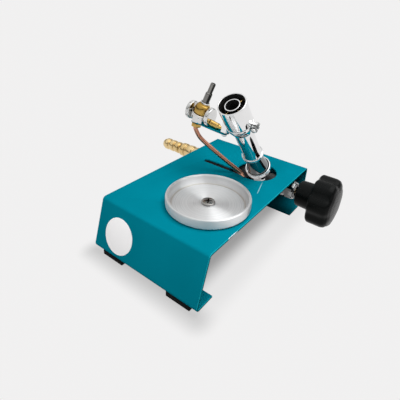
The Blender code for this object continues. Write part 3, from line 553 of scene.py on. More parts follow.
def shape(name, bm, where):
    bmesh.ops.recalc_face_normals(bm, faces=bm.faces)
    bm.transform(Matrix.Scale(MM, 4) @ where)
    return meshed(name, bm)


def lathe(name, outline, where, ease=0.25, count=96, steps=3):
    return shape(name, turned(soften(outline, ease, steps), count), where)


def applied(obj):
    bpy.context.view_layer.update()
    graph = bpy.context.evaluated_depsgraph_get()
    mesh = bpy.data.meshes.new_from_object(obj.evaluated_get(graph))
    obj.modifiers.clear()
    obj.data = mesh
    return obj


def combine(obj, tool, operation):
    mod = obj.modifiers.new("combine", "BOOLEAN")
    mod.operation = operation
    mod.solver = "EXACT"
    mod.object = tool
    applied(obj)
    bpy.data.objects.remove(tool, do_unlink=True)
    return obj


def cut(obj, bm, where):
    return combine(obj, shape("tool", bm, where), "DIFFERENCE")


def join(obj, bm, where):
    return combine(obj, shape("tool", bm, where), "UNION")


def eased(obj, width):
    mod = obj.modifiers.new("eased", "BEVEL")
    mod.width = width * MM
    mod.segments = 2
    mod.limit_method = "ANGLE"
    mod.angle_limit = radians(40.0)
    return applied(obj)


# The second finish is soot inside the burner, and painted shade on the dish screw's recess and the clamp's
# ears.
def darken(obj, where, test, clean="chrome", soot_and_shade="soot"):
    obj.data.materials.append(LOOK[clean])
    obj.data.materials.append(LOOK[soot_and_shade])
    back = where.inverted()
    for face in obj.data.polygons:
        if test(back @ (face.center / MM)):
            face.material_index = 1
    return obj


def show(obj, finish, nodes, body="base", sharp=42.0, tone=None):
    if not obj.data.materials:
        obj.data.materials.append(LOOK[tone or finish])
    obj.data.shade_smooth()
    obj.data.set_sharp_from_angle(angle=radians(sharp))
    if nodes:
        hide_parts(*nodes)
    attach(obj, body)
    print(obj.name, "faces", len(obj.data.polygons), "on", body)
    return obj


# %% [markdown]
# ## The base
# One sheet is bent four times and has a hole for the burner, a slot for the tube and a screw hole.
# Solidify on a folded strip would leave sharp bends, so the section is drawn with round ones,
# pulled along X, cut and eased.

# %% Base sheet
SHEET = 1.5
BEND = 3.0
LEG = 40.0
THROUGH = 4.0
HOLE_X = 18.0
SLOT_X = -27.5
SLOT_Y = 25.2
SLOT_R = 3.0


def section(corners, thick, radius, steps):
    outer = []
    inner = []
    points = [Vector(c) for c in corners]
    for i, p in enumerate(points):
        if i in (0, len(points) - 1):
            along = (points[1] - points[0]) if i == 0 else (points[-1] - points[-2])
            along.normalize()
            outer.append(p)
            inner.append(p + Vector((along.y, -along.x)) * thick)
            continue
        a = (p - points[i - 1]).normalized()
        b = (points[i + 1] - p).normalized()
        angle = a.angle(b)
        start = p - a * radius * tan(angle / 2)
        centre = start + Vector((a.y, -a.x)) * radius
        for k in range(steps + 1):
            arm = (start - centre).copy()
            arm.rotate(Matrix.Rotation(-angle * k / steps, 2))
            outer.append(centre + arm)
            inner.append(centre + arm * (radius - thick) / radius)
    return outer + inner[::-1]


def base_sheet():
    corners = [(-70.3, -LEG), (-88.26, -LEG), (-HALF_D, 0.0), (HALF_D, 0.0), (HALF_D, -LEG), (50.5, -LEG)]
    line = section(corners, SHEET, BEND, 8)
    base = shape("base_sheet", pulled([[(x, p.x, p.y) for p in line] for x in (-HALF_W, HALF_W)]), ROOT)
    cut(base, rod(17.2, -THROUGH, THROUGH, 96), place(ROOT, (HOLE_X, 38.1, 0.0)))
    turns = [pi * k / 16 for k in range(17)]
    slot = [(HOLE_X, SLOT_Y - SLOT_R), (HOLE_X, SLOT_Y + SLOT_R)]
    slot += [(SLOT_X - SLOT_R * sin(a), SLOT_Y + SLOT_R * cos(a)) for a in turns]
    cut(base, pulled([[(x, y, z) for x, y in slot] for z in (-THROUGH, THROUGH)]), ROOT)
    cut(base, rod(2.8, -THROUGH, THROUGH, 32), DISH)
    eased(base, 0.3)
    return show(base, "teal_paint", ["base_plate"])


base_sheet()

# %% [markdown]
# ## The label
# A round white sticker sits on the sloping front leg. White paint would do from afar,
# but a thin turned disc has an edge that catches light.

# %% Label
LABEL_R = 14.0
LEG_SLOPE = 0.2983


def label():
    on_leg = place(ROOT, (-27.0, -82.7, -21.8), (radians(90.0) - LEG_SLOPE, 0.0, 0.0))
    line = [(0.0, 0.02), (LABEL_R, 0.02), (LABEL_R, 0.14), (0.0, 0.14)]
    return show(lathe("label", line, on_leg, 0.05), "label", [])


label()

# %% [markdown]
# ## The dish
# The dish is a shallow turning with a rounded rim and a groove in its inside corner.
# A cylinder with Solidify would miss both, so one outline holds them.

# %% Dish


def dish():
    line = [(2.8, 0.3), (30.6, 0.3), (31.7, 1.5), (31.8, 1.8), (31.8, 7.8), (31.3, 8.3), (30.0, 8.3)]
    line += [(29.6, 7.9), (28.9, 2.9), (28.2, 1.9), (27.6, 1.35), (26.8, 1.35), (26.4, 1.5), (2.8, 1.5)]
    return show(lathe("dish_turned", line, DISH, 0.35, 144), "turned_aluminium", ["dish"])


dish()

# %% [markdown]
# ## The dish screw
# A screw with a cross recess holds the dish. A dark cross in the material would look flat,
# so two blocks cut the recess, and its faces take a darker steel as painted shade.

# %% Dish screw
RECESS_TURN = 0.5


def spun(parent, angle):
    return place(parent, (0.0, 0.0, 0.0), (0.0, 0.0, angle))


def dish_screw():
    line = [(0.0, -8.3), (2.5, -8.3), (2.5, 1.8), (5.3, 1.8), (5.3, 2.5), (4.8, 3.1), (0.0, 3.6)]
    screw = lathe("dish_screw_cut", line, DISH, 0.4, 64)
    for turn in (RECESS_TURN, RECESS_TURN + pi / 2):
        cut(screw, block((-3.1, -0.65, 2.2), (3.1, 0.65, 5.0)), spun(DISH, turn))
    # The recess faces take near-black steel: painted shade in the recess.
    darken(screw, DISH, lambda p: p.xy.length < 3.15 and 2.1 < p.z < 3.25, "steel", "dark_steel")
    return show(screw, "steel", ["dish_screw"])


dish_screw()

# %% [markdown]
# ## The hose tail and gland nut
# A hose is pushed over the tail's six ridges, three small and three larger. Rings could be stacked,
# but the tail is one turning, so a loop adds each ridge to its outline. The nut is a hexagon with a bore.

# %% Hose tail and gland nut
TAIL_TIP = -99.4
TAIL_BORE = 2.8
RIDGE = 0.9
RIDGES = [(5.9, 7.1)] * 3 + [(6.9, 9.0)] * 3


def hose_tail():
    line = [(TAIL_BORE, TAIL_TIP), (4.5, TAIL_TIP)]
    z = TAIL_TIP
    for crest, pitch in RIDGES:
        line += [(crest, z + pitch * 0.45), (crest, z + pitch * 0.9)]
        line += [(crest - RIDGE, z + pitch * 0.94), (crest - RIDGE, z + pitch)]
        z += pitch
    line += [(7.7, z + 0.8), (7.7, z + 6.0), (4.2, z + 6.0), (4.2, z + 15.0), (TAIL_BORE, z + 15.0)]
    return show(lathe("hose_tail_turned", line, GAS, 0.18, 72, 2), "brass", ["hose_tail"])


def gland_nut():
    nut = shape("gland_nut_cut", hexagon(8.8, 45.2, 52.2, 6.3, pi / 6), GAS)
    # The nut takes the shaded chrome, a darker copy that paints shade into its reflections.
    return show(nut, "nickel_plate", ["gland_nut"], sharp=25.0, tone="shaded_chrome")


hose_tail()
gland_nut()

# %% [markdown]
# ## The knob
# The black knob has seven soft lobes to grip. Cylinders cut from a disc would leave sharp edges,
# so each ring is pulled in between the lobes, and less so towards the hub.

# %% Knob
LOBES = 7
LOBE_DEPTH = 1.9
KNOB_FLOOR = 73.0


def lobed(r, z, count):
    share = min(max((r - 12.0) / 7.0, 0.0), 1.0)
    return around(count, z, lambda a: r - LOBE_DEPTH * share * (0.5 - 0.5 * cos(LOBES * a)) ** 1.6)


def knob():
    line = [(2.7, KNOB_FLOOR), (2.7, 56.0), (10.4, 56.0), (11.2, 56.8), (11.8, 69.5), (19.8, 69.5)]
    line += [(21.4, 71.1), (21.4, 82.6), (20.6, 85.2), (18.3, 87.1), (14.0, 88.3), (7.0, 89.0), (0.0, 89.2)]
    outline = soften([(0.0, KNOB_FLOOR)] + line, 0.9, 5)
    bm = bmesh.new()
    skin(bm, [lobed(r, z, LOBES * 28) if r > 0.0 else [(0.0, 0.0, z)] for r, z in outline], False)
    piece = shape("knob_moulded", bm, GAS)
    cut(piece, rod(1.8, 1.7, 18.0), place(GAS, (0.0, 0.0, 62.75), (-pi / 2, 0.0, 0.0)))
    return show(piece, "black_plastic", ["main_knob"], "main_knob")


knob()

# %% [markdown]
# ## Knurls
# Fine teeth on the collar and the two pilot discs give grip. A bump map would be flat at the rim.
# Geometry Nodes suit teeth that repeat round a ring, and one tree serves all three bands.

# %% A ring of teeth


def begun(name, inputs):
    tree = bpy.data.node_groups.new(name, "GeometryNodeTree")
    tree.interface.new_socket("Geometry", in_out="OUTPUT", socket_type="NodeSocketGeometry")
    for socket, kind in inputs.items():
        tree.interface.new_socket(socket, in_out="INPUT", socket_type="NodeSocket" + kind)
    return tree, tree.nodes.new("NodeGroupInput")


def ended(tree, start, geometry):
    end = tree.nodes.new("NodeGroupOutput")
    real = tree.nodes.new("GeometryNodeRealizeInstances")
    paint_it = tree.nodes.new("GeometryNodeSetMaterial")
    tree.links.new(geometry, real.inputs["Geometry"])
    tree.links.new(real.outputs["Geometry"], paint_it.inputs["Geometry"])
    tree.links.new(start.outputs["Finish"], paint_it.inputs["Material"])
    tree.links.new(paint_it.outputs["Geometry"], end.inputs["Geometry"])
    return tree


def tooth_tree():
    inputs = {"Count": "Int", "Radius": "Float", "Height": "Float", "Tooth": "Float", "Finish": "Material"}
    tree, start = begun("ring_of_teeth", inputs)
    ring = tree.nodes.new("GeometryNodeMeshCircle")
    tooth = made(tree, "GeometryNodeMeshCylinder", {"Vertices": 4})
    index = tree.nodes.new("GeometryNodeInputIndex")
    turn = tree.nodes.new("ShaderNodeCombineXYZ")
    copy = tree.nodes.new("GeometryNodeInstanceOnPoints")
    tree.links.new(start.outputs["Count"], ring.inputs["Vertices"])
    tree.links.new(start.outputs["Radius"], ring.inputs["Radius"])
    tree.links.new(start.outputs["Height"], tooth.inputs["Depth"])
    tree.links.new(start.outputs["Tooth"], tooth.inputs["Radius"])
    share = figure(tree, "DIVIDE", index.outputs["Index"], start.outputs["Count"])
    tree.links.new(figure(tree, "MULTIPLY", share, 2 * pi), turn.inputs["Z"])
    tree.links.new(ring.outputs["Mesh"], copy.inputs["Points"])
    tree.links.new(tooth.outputs["Mesh"], copy.inputs["Instance"])
    tree.links.new(turn.outputs["Vector"], copy.inputs["Rotation"])
    return ended(tree, start, copy.outputs["Instances"])


def grown(obj, tree, values):
    mod = obj.modifiers.new(tree.name, "NODES")
    mod.node_group = tree
    for item in tree.interface.items_tree:
        if item.in_out == "INPUT" and item.name in values:
            mod[item.identifier] = values[item.name]
    return applied(obj)


def knurl(name, where, z, count, radius, height, tooth, finish, body):
    obj = linked(name, bpy.data.meshes.new(name))
    values = {"Count": count, "Radius": radius * MM, "Height": height * MM, "Tooth": tooth * MM}
    grown(obj, TEETH, {**values, "Finish": LOOK[finish]})
    spot = place(where, (0.0, 0.0, z))
    spot.translation *= MM
    obj.data.transform(spot)
    return show(obj, finish, [], body, 20.0)


TEETH = tooth_tree()
print("tooth inputs", [s.name for s in TEETH.interface.items_tree if s.in_out == "INPUT"])

# %% [markdown]
# ## The air collar
# The collar turns on the neck, and its four windows let air in or shut it out. They could be painted,
# but light shows through real ones. One function cuts collar and neck, so their windows line up at rest.

# %% Air collar
WINDOWS = 4
WINDOW_R = 2.0
WINDOW_Z = 14.5


def windows(obj, low, high):
    for i in range(WINDOWS):
        facing = place(BURNER, (0.0, 0.0, WINDOW_Z), (0.0, 0.0, 2 * pi * (i + 0.5) / WINDOWS))
        cut(obj, rod(WINDOW_R, low, high), place(facing, (0.0, 0.0, 0.0), (0.0, pi / 2, 0.0)))
    return obj


def air_collar():
    line = [(8.5, 11.0), (9.4, 11.0), (9.4, 17.2), (10.5, 17.2), (10.85, 17.6), (10.85, 21.2), (10.6, 21.6)]
    line += [(10.1, 21.6), (9.5, 20.8), (6.0, 20.8), (6.0, 20.0), (8.5, 20.0)]
    collar = lathe("collar_turned", line, BURNER)
    show(windows(collar, 7.5, 10.4), "chrome", ["air_collar"], "air_collar")
    return knurl("collar_knurl", BURNER, 19.4, 84, 10.82, 3.2, 0.28, "chrome", "air_collar")


air_collar()

# %% [markdown]
# ## The mixer neck
# Gas and air mix in the neck, which flares into a bell. Straight cones would leave hard lines
# in its reflections, so a power of the height gives one smooth flare.

# %% Mixer neck
BELL_R = 6.9
BELL_FLARE = 2.5
BELL_LOW = 21.5
BELL_H = 15.5


def mixer_neck():
    line = [(7.3, 11.0), (8.2, 11.0), (8.2, 19.7), (5.7, 19.7), (5.7, 21.1), (9.4, 21.1), (9.4, BELL_LOW)]
    line += [(BELL_R + BELL_FLARE * (1 - k / 9) ** 1.5, BELL_LOW + BELL_H * k / 9) for k in range(1, 10)]
    line += [(BELL_R, 37.9), (3.4, 37.9), (3.4, 45.2), (2.5, 45.2), (2.5, 34.7), (4.7, 18.8), (7.3, 18.8)]
    neck = lathe("neck_turned", line, BURNER, 0.3)
    # The neck takes the shaded chrome, a darker copy that paints shade into its reflections.
    return show(windows(neck, 6.3, 8.35), "chrome", ["mixer_neck"], tone="shaded_chrome")


mixer_neck()

# %% [markdown]
# ## The tube and the flame cup
# The tube leads the gas up, and the cup stands round its end. Both are black with soot inside.
# A dark inner shell would lie too close to the wall, so the inner faces take the soot finish.

# %% Tube and cup
CUP_HOLES = 4
CUP_HOLE_AT = 8.42


def burner_tube():
    line = [(3.7, 38.2), (8.7, 38.2), (9.1, 38.6), (9.1, 40.5), (8.8, 40.8), (8.5, 40.8), (8.35, 40.1)]
    line += [(7.6 + 0.7 * (1 - k / 7) ** 2, 40.3 + k) for k in range(1, 8)]
    line += [(7.6, 80.2), (5.95, 80.2), (5.95, 99.0), (5.1, 99.0), (5.1, 47.8), (3.7, 46.8)]
    tube = lathe("tube_turned", line, BURNER)
    darken(tube, BURNER, lambda p: p.xy.length < 5.2)
    return show(tube, "chrome", ["burner_tube"])


def flame_cup():
    line = [(6.25, 80.5), (10.0, 80.5), (10.9, 81.0), (10.9, 99.8), (10.6, 100.2), (10.1, 100.2)]
    line += [(9.9, 99.9), (9.9, 81.7), (6.25, 81.7)]
    cup = lathe("cup_turned", line, BURNER, 0.3, 128)
    for i in range(CUP_HOLES):
        a = 2 * pi * (i + 0.25) / CUP_HOLES
        cut(cup, rod(1.2, 0.0, 4.0), place(BURNER, (CUP_HOLE_AT * cos(a), CUP_HOLE_AT * sin(a), 79.5)))
    darken(cup, BURNER, lambda p: p.xy.length < 9.95 and 81.0 < p.z < 99.6)
    return show(cup, "chrome", ["flame_cup"])


burner_tube()
flame_cup()

# %% [markdown]
# ## The spider
# A ring with four brass fins sits between tube and cup. The fins could be loose,
# but their solid is one piece, so they are joined to the ring.

# %% Spider
FINS = 4


def spider():
    ring = lathe("spider_ring", [(6.25, 92.0), (6.9, 92.0), (6.9, 95.0), (6.25, 95.0)], BURNER, 0.2, 64)
    for i in range(FINS):
        fin = block((6.5, -0.5, 92.6), (9.6, 0.5, 96.0))
        join(ring, fin, spun(BURNER, radians(-110.0 + 90.0 * i)))
    darken(ring, BURNER, lambda p: p.xy.length < 7.0, "brass", "soot")
    return show(eased(ring, 0.1), "brass", ["flame_spider"])


spider()

# %% [markdown]
# ## The clamp
# A split ring grips the tube, with a cone, two ears for its screw and a post for the pilot arm.
# It could be modelled face by face, but joining and cutting follow a maker's order: turn, braze, saw.

# %% Clamp and its screw
POST = place(PILOT, (-11.5, 0.0, 0.0))
EARS_FROM = 10.9
SCREW_TURN = 0.7


def clamp():
    line = [(7.9, 71.2), (8.5, 71.2), (10.9, 77.6), (10.9, 79.9), (10.6, 80.2), (7.9, 80.2)]
    ring = lathe("clamp_cut", line, BURNER)
    join(ring, block((8.5, -2.4, 75.2), (14.6, 2.4, 80.2)), BURNER)
    join(ring, block((-13.8, -2.3, -10.8), (-9.2, 2.3, -1.5)), PILOT)
    cut(ring, block((0.0, -0.6, 70.0), (16.0, 0.6, 82.0)), BURNER)
    cut(ring, rod(1.3, -4.0, 4.0), CLAMP_SCREW)
    cut(ring, rod(1.5, -12.0, -5.8), POST)
    vent = place(BURNER, (0.0, 0.0, 78.1), (0.0, 0.0, radians(-57.0)))
    cut(ring, block((6.9, -3.6, 0.0), (11.9, 3.6, 1.5)), vent)
    # The ears take the shaded chrome, a darker copy that paints shade into their reflections.
    darken(eased(ring, 0.2), BURNER, lambda p: p.x > EARS_FROM, "chrome", "shaded_chrome")
    return show(ring, "chrome", ["pilot_clamp"])


def clamp_screw():
    line = [(0.0, 4.5), (1.0, 4.5), (1.0, -2.7), (2.0, -2.7), (2.0, -3.6), (1.4, -4.2), (0.0, -4.4)]
    screw = lathe("clamp_screw_cut", line, CLAMP_SCREW, 0.25, 40)
    cut(screw, block((-2.5, -0.25, -5.0), (2.5, 0.25, -3.7)), spun(CLAMP_SCREW, SCREW_TURN))
    return show(screw, "nickel_plate", ["clamp_screw"])


clamp()
clamp_screw()

# %% [markdown]
# ## The pilot arm
# A painted strip bends up slightly from the clamp's post to the pilot. A lattice could bend it,
# but the base's section tool already draws bent strips.

# %% Pilot arm
ARM_REACH = 19.9


def pilot_arm():
    tip = (ARM_BEND - ARM_REACH * cos(RISE), ARM_LOW + ARM_REACH * sin(RISE))
    line = section([(-9.2, ARM_LOW), (ARM_BEND, ARM_LOW), tip], 1.0, 6.0, 6)
    arm = shape("arm_bent", pulled([[(p.x, y, p.y) for p in line] for y in (-3.5, 3.5)]), PILOT)
    cut(arm, rod(2.4, -5.0, 5.0, 32), INLET)
    cut(arm, rod(1.5, -15.0, -7.0), POST)
    return show(eased(arm, 0.15), "teal_paint", ["pilot_arm"])


pilot_arm()

# %% [markdown]
# ## The pilot body
# A plated hex body has a boss that tilts out of its top, and bores for the inlet, the spindle and the jet.
# One carved mesh would be hard to change, so it is joined first and then drilled along each axis.

# %% Pilot body


def pilot_body():
    where = place(SEAT, (BODY_X, 0.0, 0.0))
    body = shape("pilot_body_cut", hexagon(7.5, 0.3, 7.0, 0.0, radians(-78.0)), where)
    boss = [(0.0, -4.0), (7.5, -4.0), (7.5, -2.1), (7.2, -1.7), (0.0, -1.7)]
    join(body, turned(soften(boss, 0.3)), NOZZLE)
    cut(body, rod(6.85, -3.2, 4.0, 72), NOZZLE)
    cut(body, rod(1.4, -22.9, -18.5), VALVE)
    cut(body, rod(2.4, -1.0, 6.7), INLET)
    cut(body, rod(1.1, -11.2, -5.2), JET)
    return show(body, "nickel_plate", ["pilot_body"], sharp=28.0)


pilot_body()

# %% [markdown]
# ## The dome nut, ferrule and nozzle
# A brass dome nut holds the stepped nozzle, with a bright ferrule between them. Half a sphere
# would be too low for the dome, so its outline is an arc of an ellipse.

# %% Dome nut, ferrule and nozzle


def dome_nut():
    line = [(3.1, -3.0), (5.4, -3.0), (6.0, -2.4)]
    for k in range(9):
        a = radians(-20.0 + 90.0 * k / 8)
        line.append((3.3 + 3.3 * cos(a), 0.9 + 5.9 * sin(a)))
    line += [(4.0, 7.3), (3.1, 7.3)]
    return show(lathe("dome_turned", line, NOZZLE, 0.3, 72), "brass", ["pilot_nut"], tone="old_brass")


def ferrule():
    line = [(3.1, 7.6), (3.9, 7.6), (3.7, 8.5), (3.1, 8.5)]
    return show(lathe("ferrule_turned", line, NOZZLE, 0.15, 56), "chrome", ["pilot_ferrule"])


def nozzle():
    line = [(1.2, -0.9), (2.8, -0.9), (2.8, 15.9), (2.5, 16.6), (2.1, 16.9), (2.1, 24.4), (1.8, 25.0)]
    piece = lathe("nozzle_turned", line + [(1.2, 25.0)], NOZZLE, 0.3, 56)
    return show(piece, "steel", ["pilot_nozzle"], tone="one_side_dark_steel")


dome_nut()
ferrule()
nozzle()

# %% [markdown]
# ## The pilot disc and plug
# The left disc sets the pilot flame, and the right plug holds the jet. Plain rough discs would do,
# but the teeth show at the rim, so each turning gets a knurl on the body that it moves with.

# %% Pilot disc and plug
TEETH_ON_DISC = 52


def pilot_disc():
    line = [(0.0, -25.6), (6.6, -25.6), (7.35, -24.9), (7.35, -22.9), (6.6, -22.2)]
    line += [(1.4, -22.2), (1.4, -24.2), (0.0, -24.2)]
    disc = lathe("disc_turned", line, VALVE, 0.3, 72)
    show(disc, "nickel_plate", ["pilot_knob"], "pilot_knob")
    return knurl("disc_knurl", VALVE, -23.9, TEETH_ON_DISC, 7.3, 2.2, 0.3, "nickel_plate", "pilot_knob")


def pilot_plug():
    line = [(0.0, -6.94), (6.5, -6.94), (7.05, -6.4), (7.05, -3.9), (6.5, -3.34), (0.0, -3.34)]
    plug = lathe("plug_turned", line, VALVE, 0.3, 72)
    cut(plug, rod(1.1, -8.0, -2.0), JET)
    show(plug, "nickel_plate", ["pilot_plug"])
    return knurl("plug_knurl", VALVE, -5.14, TEETH_ON_DISC, 7.0, 2.4, 0.3, "nickel_plate", "base")


pilot_disc()
pilot_plug()

# %% [markdown]
# ## The threaded jet
# The brass jet has a coarse thread. Stacked rings don't climb, so each point of a ring is shifted by its
# share of a turn. The crest then rises one pitch a turn, and fades out at both ends.

# %% Threaded jet
JET_STEPS = 40
THREAD_PITCH = 1.0
THREAD_DEPTH = 0.45


def thread(radius, depth, pitch, low, high, count, steps=6):
    rows = int((high - low) / pitch * steps)
    rings = []
    for k in range(rows + 1):
        z = low + (high - low) * k / rows
        fade = min(1.0, (z - low) / pitch, (high - z) / pitch)
        ring = []
        for i in range(count):
            wave = abs(((z / pitch - i / count) % 1.0) * 2 - 1)
            r = radius - depth * wave * fade
            ring.append((r * cos(2 * pi * i / count), r * sin(2 * pi * i / count), z))
        rings.append(ring)
    return rings


def jet():
    shank = ((0.8, -10.2), (0.8, -3.04), (2.5, -3.04), (2.7, -2.8))
    point = ((2.5, 4.3), (1.9, 4.5), (1.75, 5.2), (1.0, 7.9), (0.7, 8.1))
    rings = [[(0.0, 0.0, -10.2)]] + [circle(r, z, JET_STEPS) for r, z in shank]
    rings += thread(2.7, THREAD_DEPTH, THREAD_PITCH, -2.7, 4.1, JET_STEPS)
    rings += [circle(r, z, JET_STEPS) for r, z in point] + [[(0.0, 0.0, 8.1)]]
    bm = bmesh.new()
    skin(bm, rings, False)
    return show(shape("jet_threaded", bm, JET), "brass", ["pilot_jet"], sharp=60.0, tone="old_brass")


jet()

# %% [markdown]
# ## The inlet nut
# A brass nut under the arm joins the copper tube to the body. A bare hexagon would have no stub,
# so hexagon and stub are joined, and a socket is cut for the tube.

# %% Inlet nut


def inlet_nut():
    nut = shape("inlet_nut_cut", hexagon(4.4, -4.5, -1.3, 0.0, pi / 6), INLET)
    join(nut, rod(2.1, -2.3, 4.7, 32), INLET)
    cut(nut, rod(2.4, -5.5, -2.7, 32), INLET)
    return show(nut, "brass", ["pilot_inlet"], sharp=28.0, tone="old_brass")


inlet_nut()

# %% [markdown]
# ## The copper tube
# The tube sags from the inlet nut, passes the slot and ends at a fitting on the valve body.
# A bevelled curve would do, but a tree with a named radius shows how a path becomes a tube.

# %% Copper tube
TUBE_R = 1.8
SLOT_MOUTH = Vector((9.6, 25.6, -0.75))
FULL_SAG_AT = 36.0


def spline(points, per_span):
    ends = [points[0] * 2 - points[1]] + points + [points[-1] * 2 - points[-2]]
    path = []
    for i in range(1, len(ends) - 2):
        a, b, c, d = ends[i - 1:i + 3]
        for k in range(per_span):
            t = k / per_span
            bend = (a * 2 - b * 5 + c * 4 - d) * t ** 2 + (b * 3 - a - c * 3 + d) * t ** 3
            path.append((b * 2 + (c - a) * t + bend) * 0.5)
    return path + [points[-1]]


def tube_tree():
    inputs = {"Geometry": "Geometry", "Radius": "Float", "Sides": "Int", "Finish": "Material"}
    tree, start = begun("tube_along_path", inputs)
    path = tree.nodes.new("GeometryNodeMeshToCurve")
    ring = tree.nodes.new("GeometryNodeCurvePrimitiveCircle")
    sweep = made(tree, "GeometryNodeCurveToMesh", {"Fill Caps": True})
    tree.links.new(start.outputs["Geometry"], path.inputs["Mesh"])
    tree.links.new(start.outputs["Sides"], ring.inputs["Resolution"])
    tree.links.new(start.outputs["Radius"], ring.inputs["Radius"])
    tree.links.new(path.outputs["Curve"], sweep.inputs["Curve"])
    tree.links.new(ring.outputs["Curve"], sweep.inputs["Profile Curve"])
    return ended(tree, start, sweep.outputs["Mesh"])


def tube_points():
    back = ROOT.inverted()
    points = [back @ (INLET @ Vector((0.0, 0.0, z))) for z in (-3.0, -4.8, -6.6)]
    below_nut = points[2]
    for share, sag in ((0.10, -3.4), (0.34, -3.0), (0.66, -1.6)):
        p = below_nut.lerp(SLOT_MOUTH, share)
        p.z += sag * below_nut.z / FULL_SAG_AT
        points.append(p)
    points.append(SLOT_MOUTH)
    return points + [back @ (TAKEOFF @ Vector((0.0, 0.0, z))) for z in (18.0, 15.0, 11.4)]


def copper_tube():
    bm = bmesh.new()
    line = [bm.verts.new(p) for p in spline(tube_points(), 10)]
    for a, b in zip(line, line[1:]):
        bm.edges.new((a, b))
    tube = shape("copper_tube", bm, ROOT)
    grown(tube, tube_tree(), {"Radius": TUBE_R * MM, "Sides": 24, "Finish": LOOK["copper"]})
    return show(tube, "copper", ["pilot_tube"])


copper_tube()

# %% [markdown]
# ## The floor
# The burner stands on a pale floor with soft shade round it. More light would wash out the paint,
# so the camera and shiny metal see a glow that weakens near the base.
# Light that bounces off the floor meets a darker tone, which keeps the plate's underside dim.

# %% Floor
PALE = (0.880, 0.874, 0.874)
FOOT_X = 0.050
FOOT_Y = 0.0816
SHADE_REACH = 0.016
FLOOR_HALF = 12.0
NEAR_GLOW = 0.62


def glow_mask(tree, path):
    x, y, _ = axes(tree)
    sideways = figure(tree, "ABSOLUTE", figure(tree, "SUBTRACT", x, ROOT.translation.x * MM))
    across = figure(tree, "MAXIMUM", figure(tree, "SUBTRACT", sideways, FOOT_X), 0.0)
    along = figure(tree, "MAXIMUM", figure(tree, "SUBTRACT", figure(tree, "ABSOLUTE", y), FOOT_Y), 0.0)
    square = figure(tree, "MULTIPLY", across, across)
    squares = figure(tree, "ADD", square, figure(tree, "MULTIPLY", along, along))
    away = ramp(tree, figure(tree, "SQRT", squares), 0.0, SHADE_REACH, 0.0, 1.0)
    under = ramp(tree, y, -FOOT_Y, -0.066, 0.0, 1.0)
    edge = ramp(tree, sideways, 0.026, 0.044, -0.25, 0.25)
    near = figure(tree, "ADD", figure(tree, "MULTIPLY", under, edge), NEAR_GLOW)
    rest = figure(tree, "MULTIPLY", away, figure(tree, "SUBTRACT", 1.0, near))
    direct = figure(tree, "MAXIMUM", path["Is Camera Ray"], path["Is Glossy Ray"])
    return figure(tree, "MULTIPLY", figure(tree, "ADD", near, rest), direct)


def either(tree, mask, one, two):
    mix = tree.nodes.new("ShaderNodeMixShader")
    tree.links.new(mask, mix.inputs["Fac"])
    tree.links.new(one, mix.inputs[1])
    tree.links.new(two, mix.inputs[2])
    return mix.outputs["Shader"]


def floor_finish():
    mat = bpy.data.materials.new("look_floor")
    mat.use_nodes = True
    tree = mat.node_tree
    shader = tree.nodes["Principled BSDF"]
    path = tree.nodes.new("ShaderNodeLightPath").outputs
    tone = two_tone(tree, noise(tree, 6.0, 2.0), grey(0.20), grey(0.22))
    tree.links.new(two_tone(tree, path["Is Diffuse Ray"], tone, grey(0.05)), shader.inputs["Base Color"])
    shader.inputs["Roughness"].default_value = 0.9
    shader.inputs["Specular IOR Level"].default_value = 0.0
    glow = made(tree, "ShaderNodeEmission", {"Color": (*PALE, 1.0)})
    seen = either(tree, glow_mask(tree, path), shader.outputs["BSDF"], glow.outputs["Emission"])
    tree.links.new(seen, tree.nodes["Material Output"].inputs["Surface"])
    return mat


def floor():
    bm = bmesh.new()
    bmesh.ops.create_grid(bm, x_segments=1, y_segments=1, size=FLOOR_HALF)
    obj = meshed("floor", bm)
    obj.data.materials.append(floor_finish())
    return obj


print("floor size in metres", [round(v, 1) for v in floor().dimensions])

# %% [markdown]
# ## The sky
# Chrome shows the room round it. A picture of a room could be wrapped round the scene, but that is a file.
# A ramp by height and one bright lobe stand in for it, seen only by shiny surfaces.
# Dull surfaces get a soft sky, and the camera a pale one.

# %% Sky
SHINY_SKY = ((0.0, 0.85), (0.09, 0.85), (0.16, 0.12), (0.29, 0.12), (0.42, 0.88), (0.80, 1.0), (1.0, 1.4))
STRONG_LIGHT = Vector((0.52, 0.24, 0.80)).normalized()


def shiny_sky(tree, point, height):
    bands = tree.nodes.new("ShaderNodeValToRGB")
    stops = bands.color_ramp.elements
    while len(stops) < len(SHINY_SKY):
        stops.new(0.5)
    for stop, (at, value) in zip(stops, SHINY_SKY):
        stop.position = at
        stop.color = (*grey(value), 1.0)
    tree.links.new(height, bands.inputs["Fac"])
    shiny = tree.nodes.new("ShaderNodeBackground")
    tree.links.new(bands.outputs["Color"], shiny.inputs["Color"])
    lobe = vector(tree, "DOT_PRODUCT", point, STRONG_LIGHT)
    tree.links.new(ramp(tree, lobe, 0.78, 0.97, 0.95, 2.6), shiny.inputs["Strength"])
    return shiny.outputs["Background"]


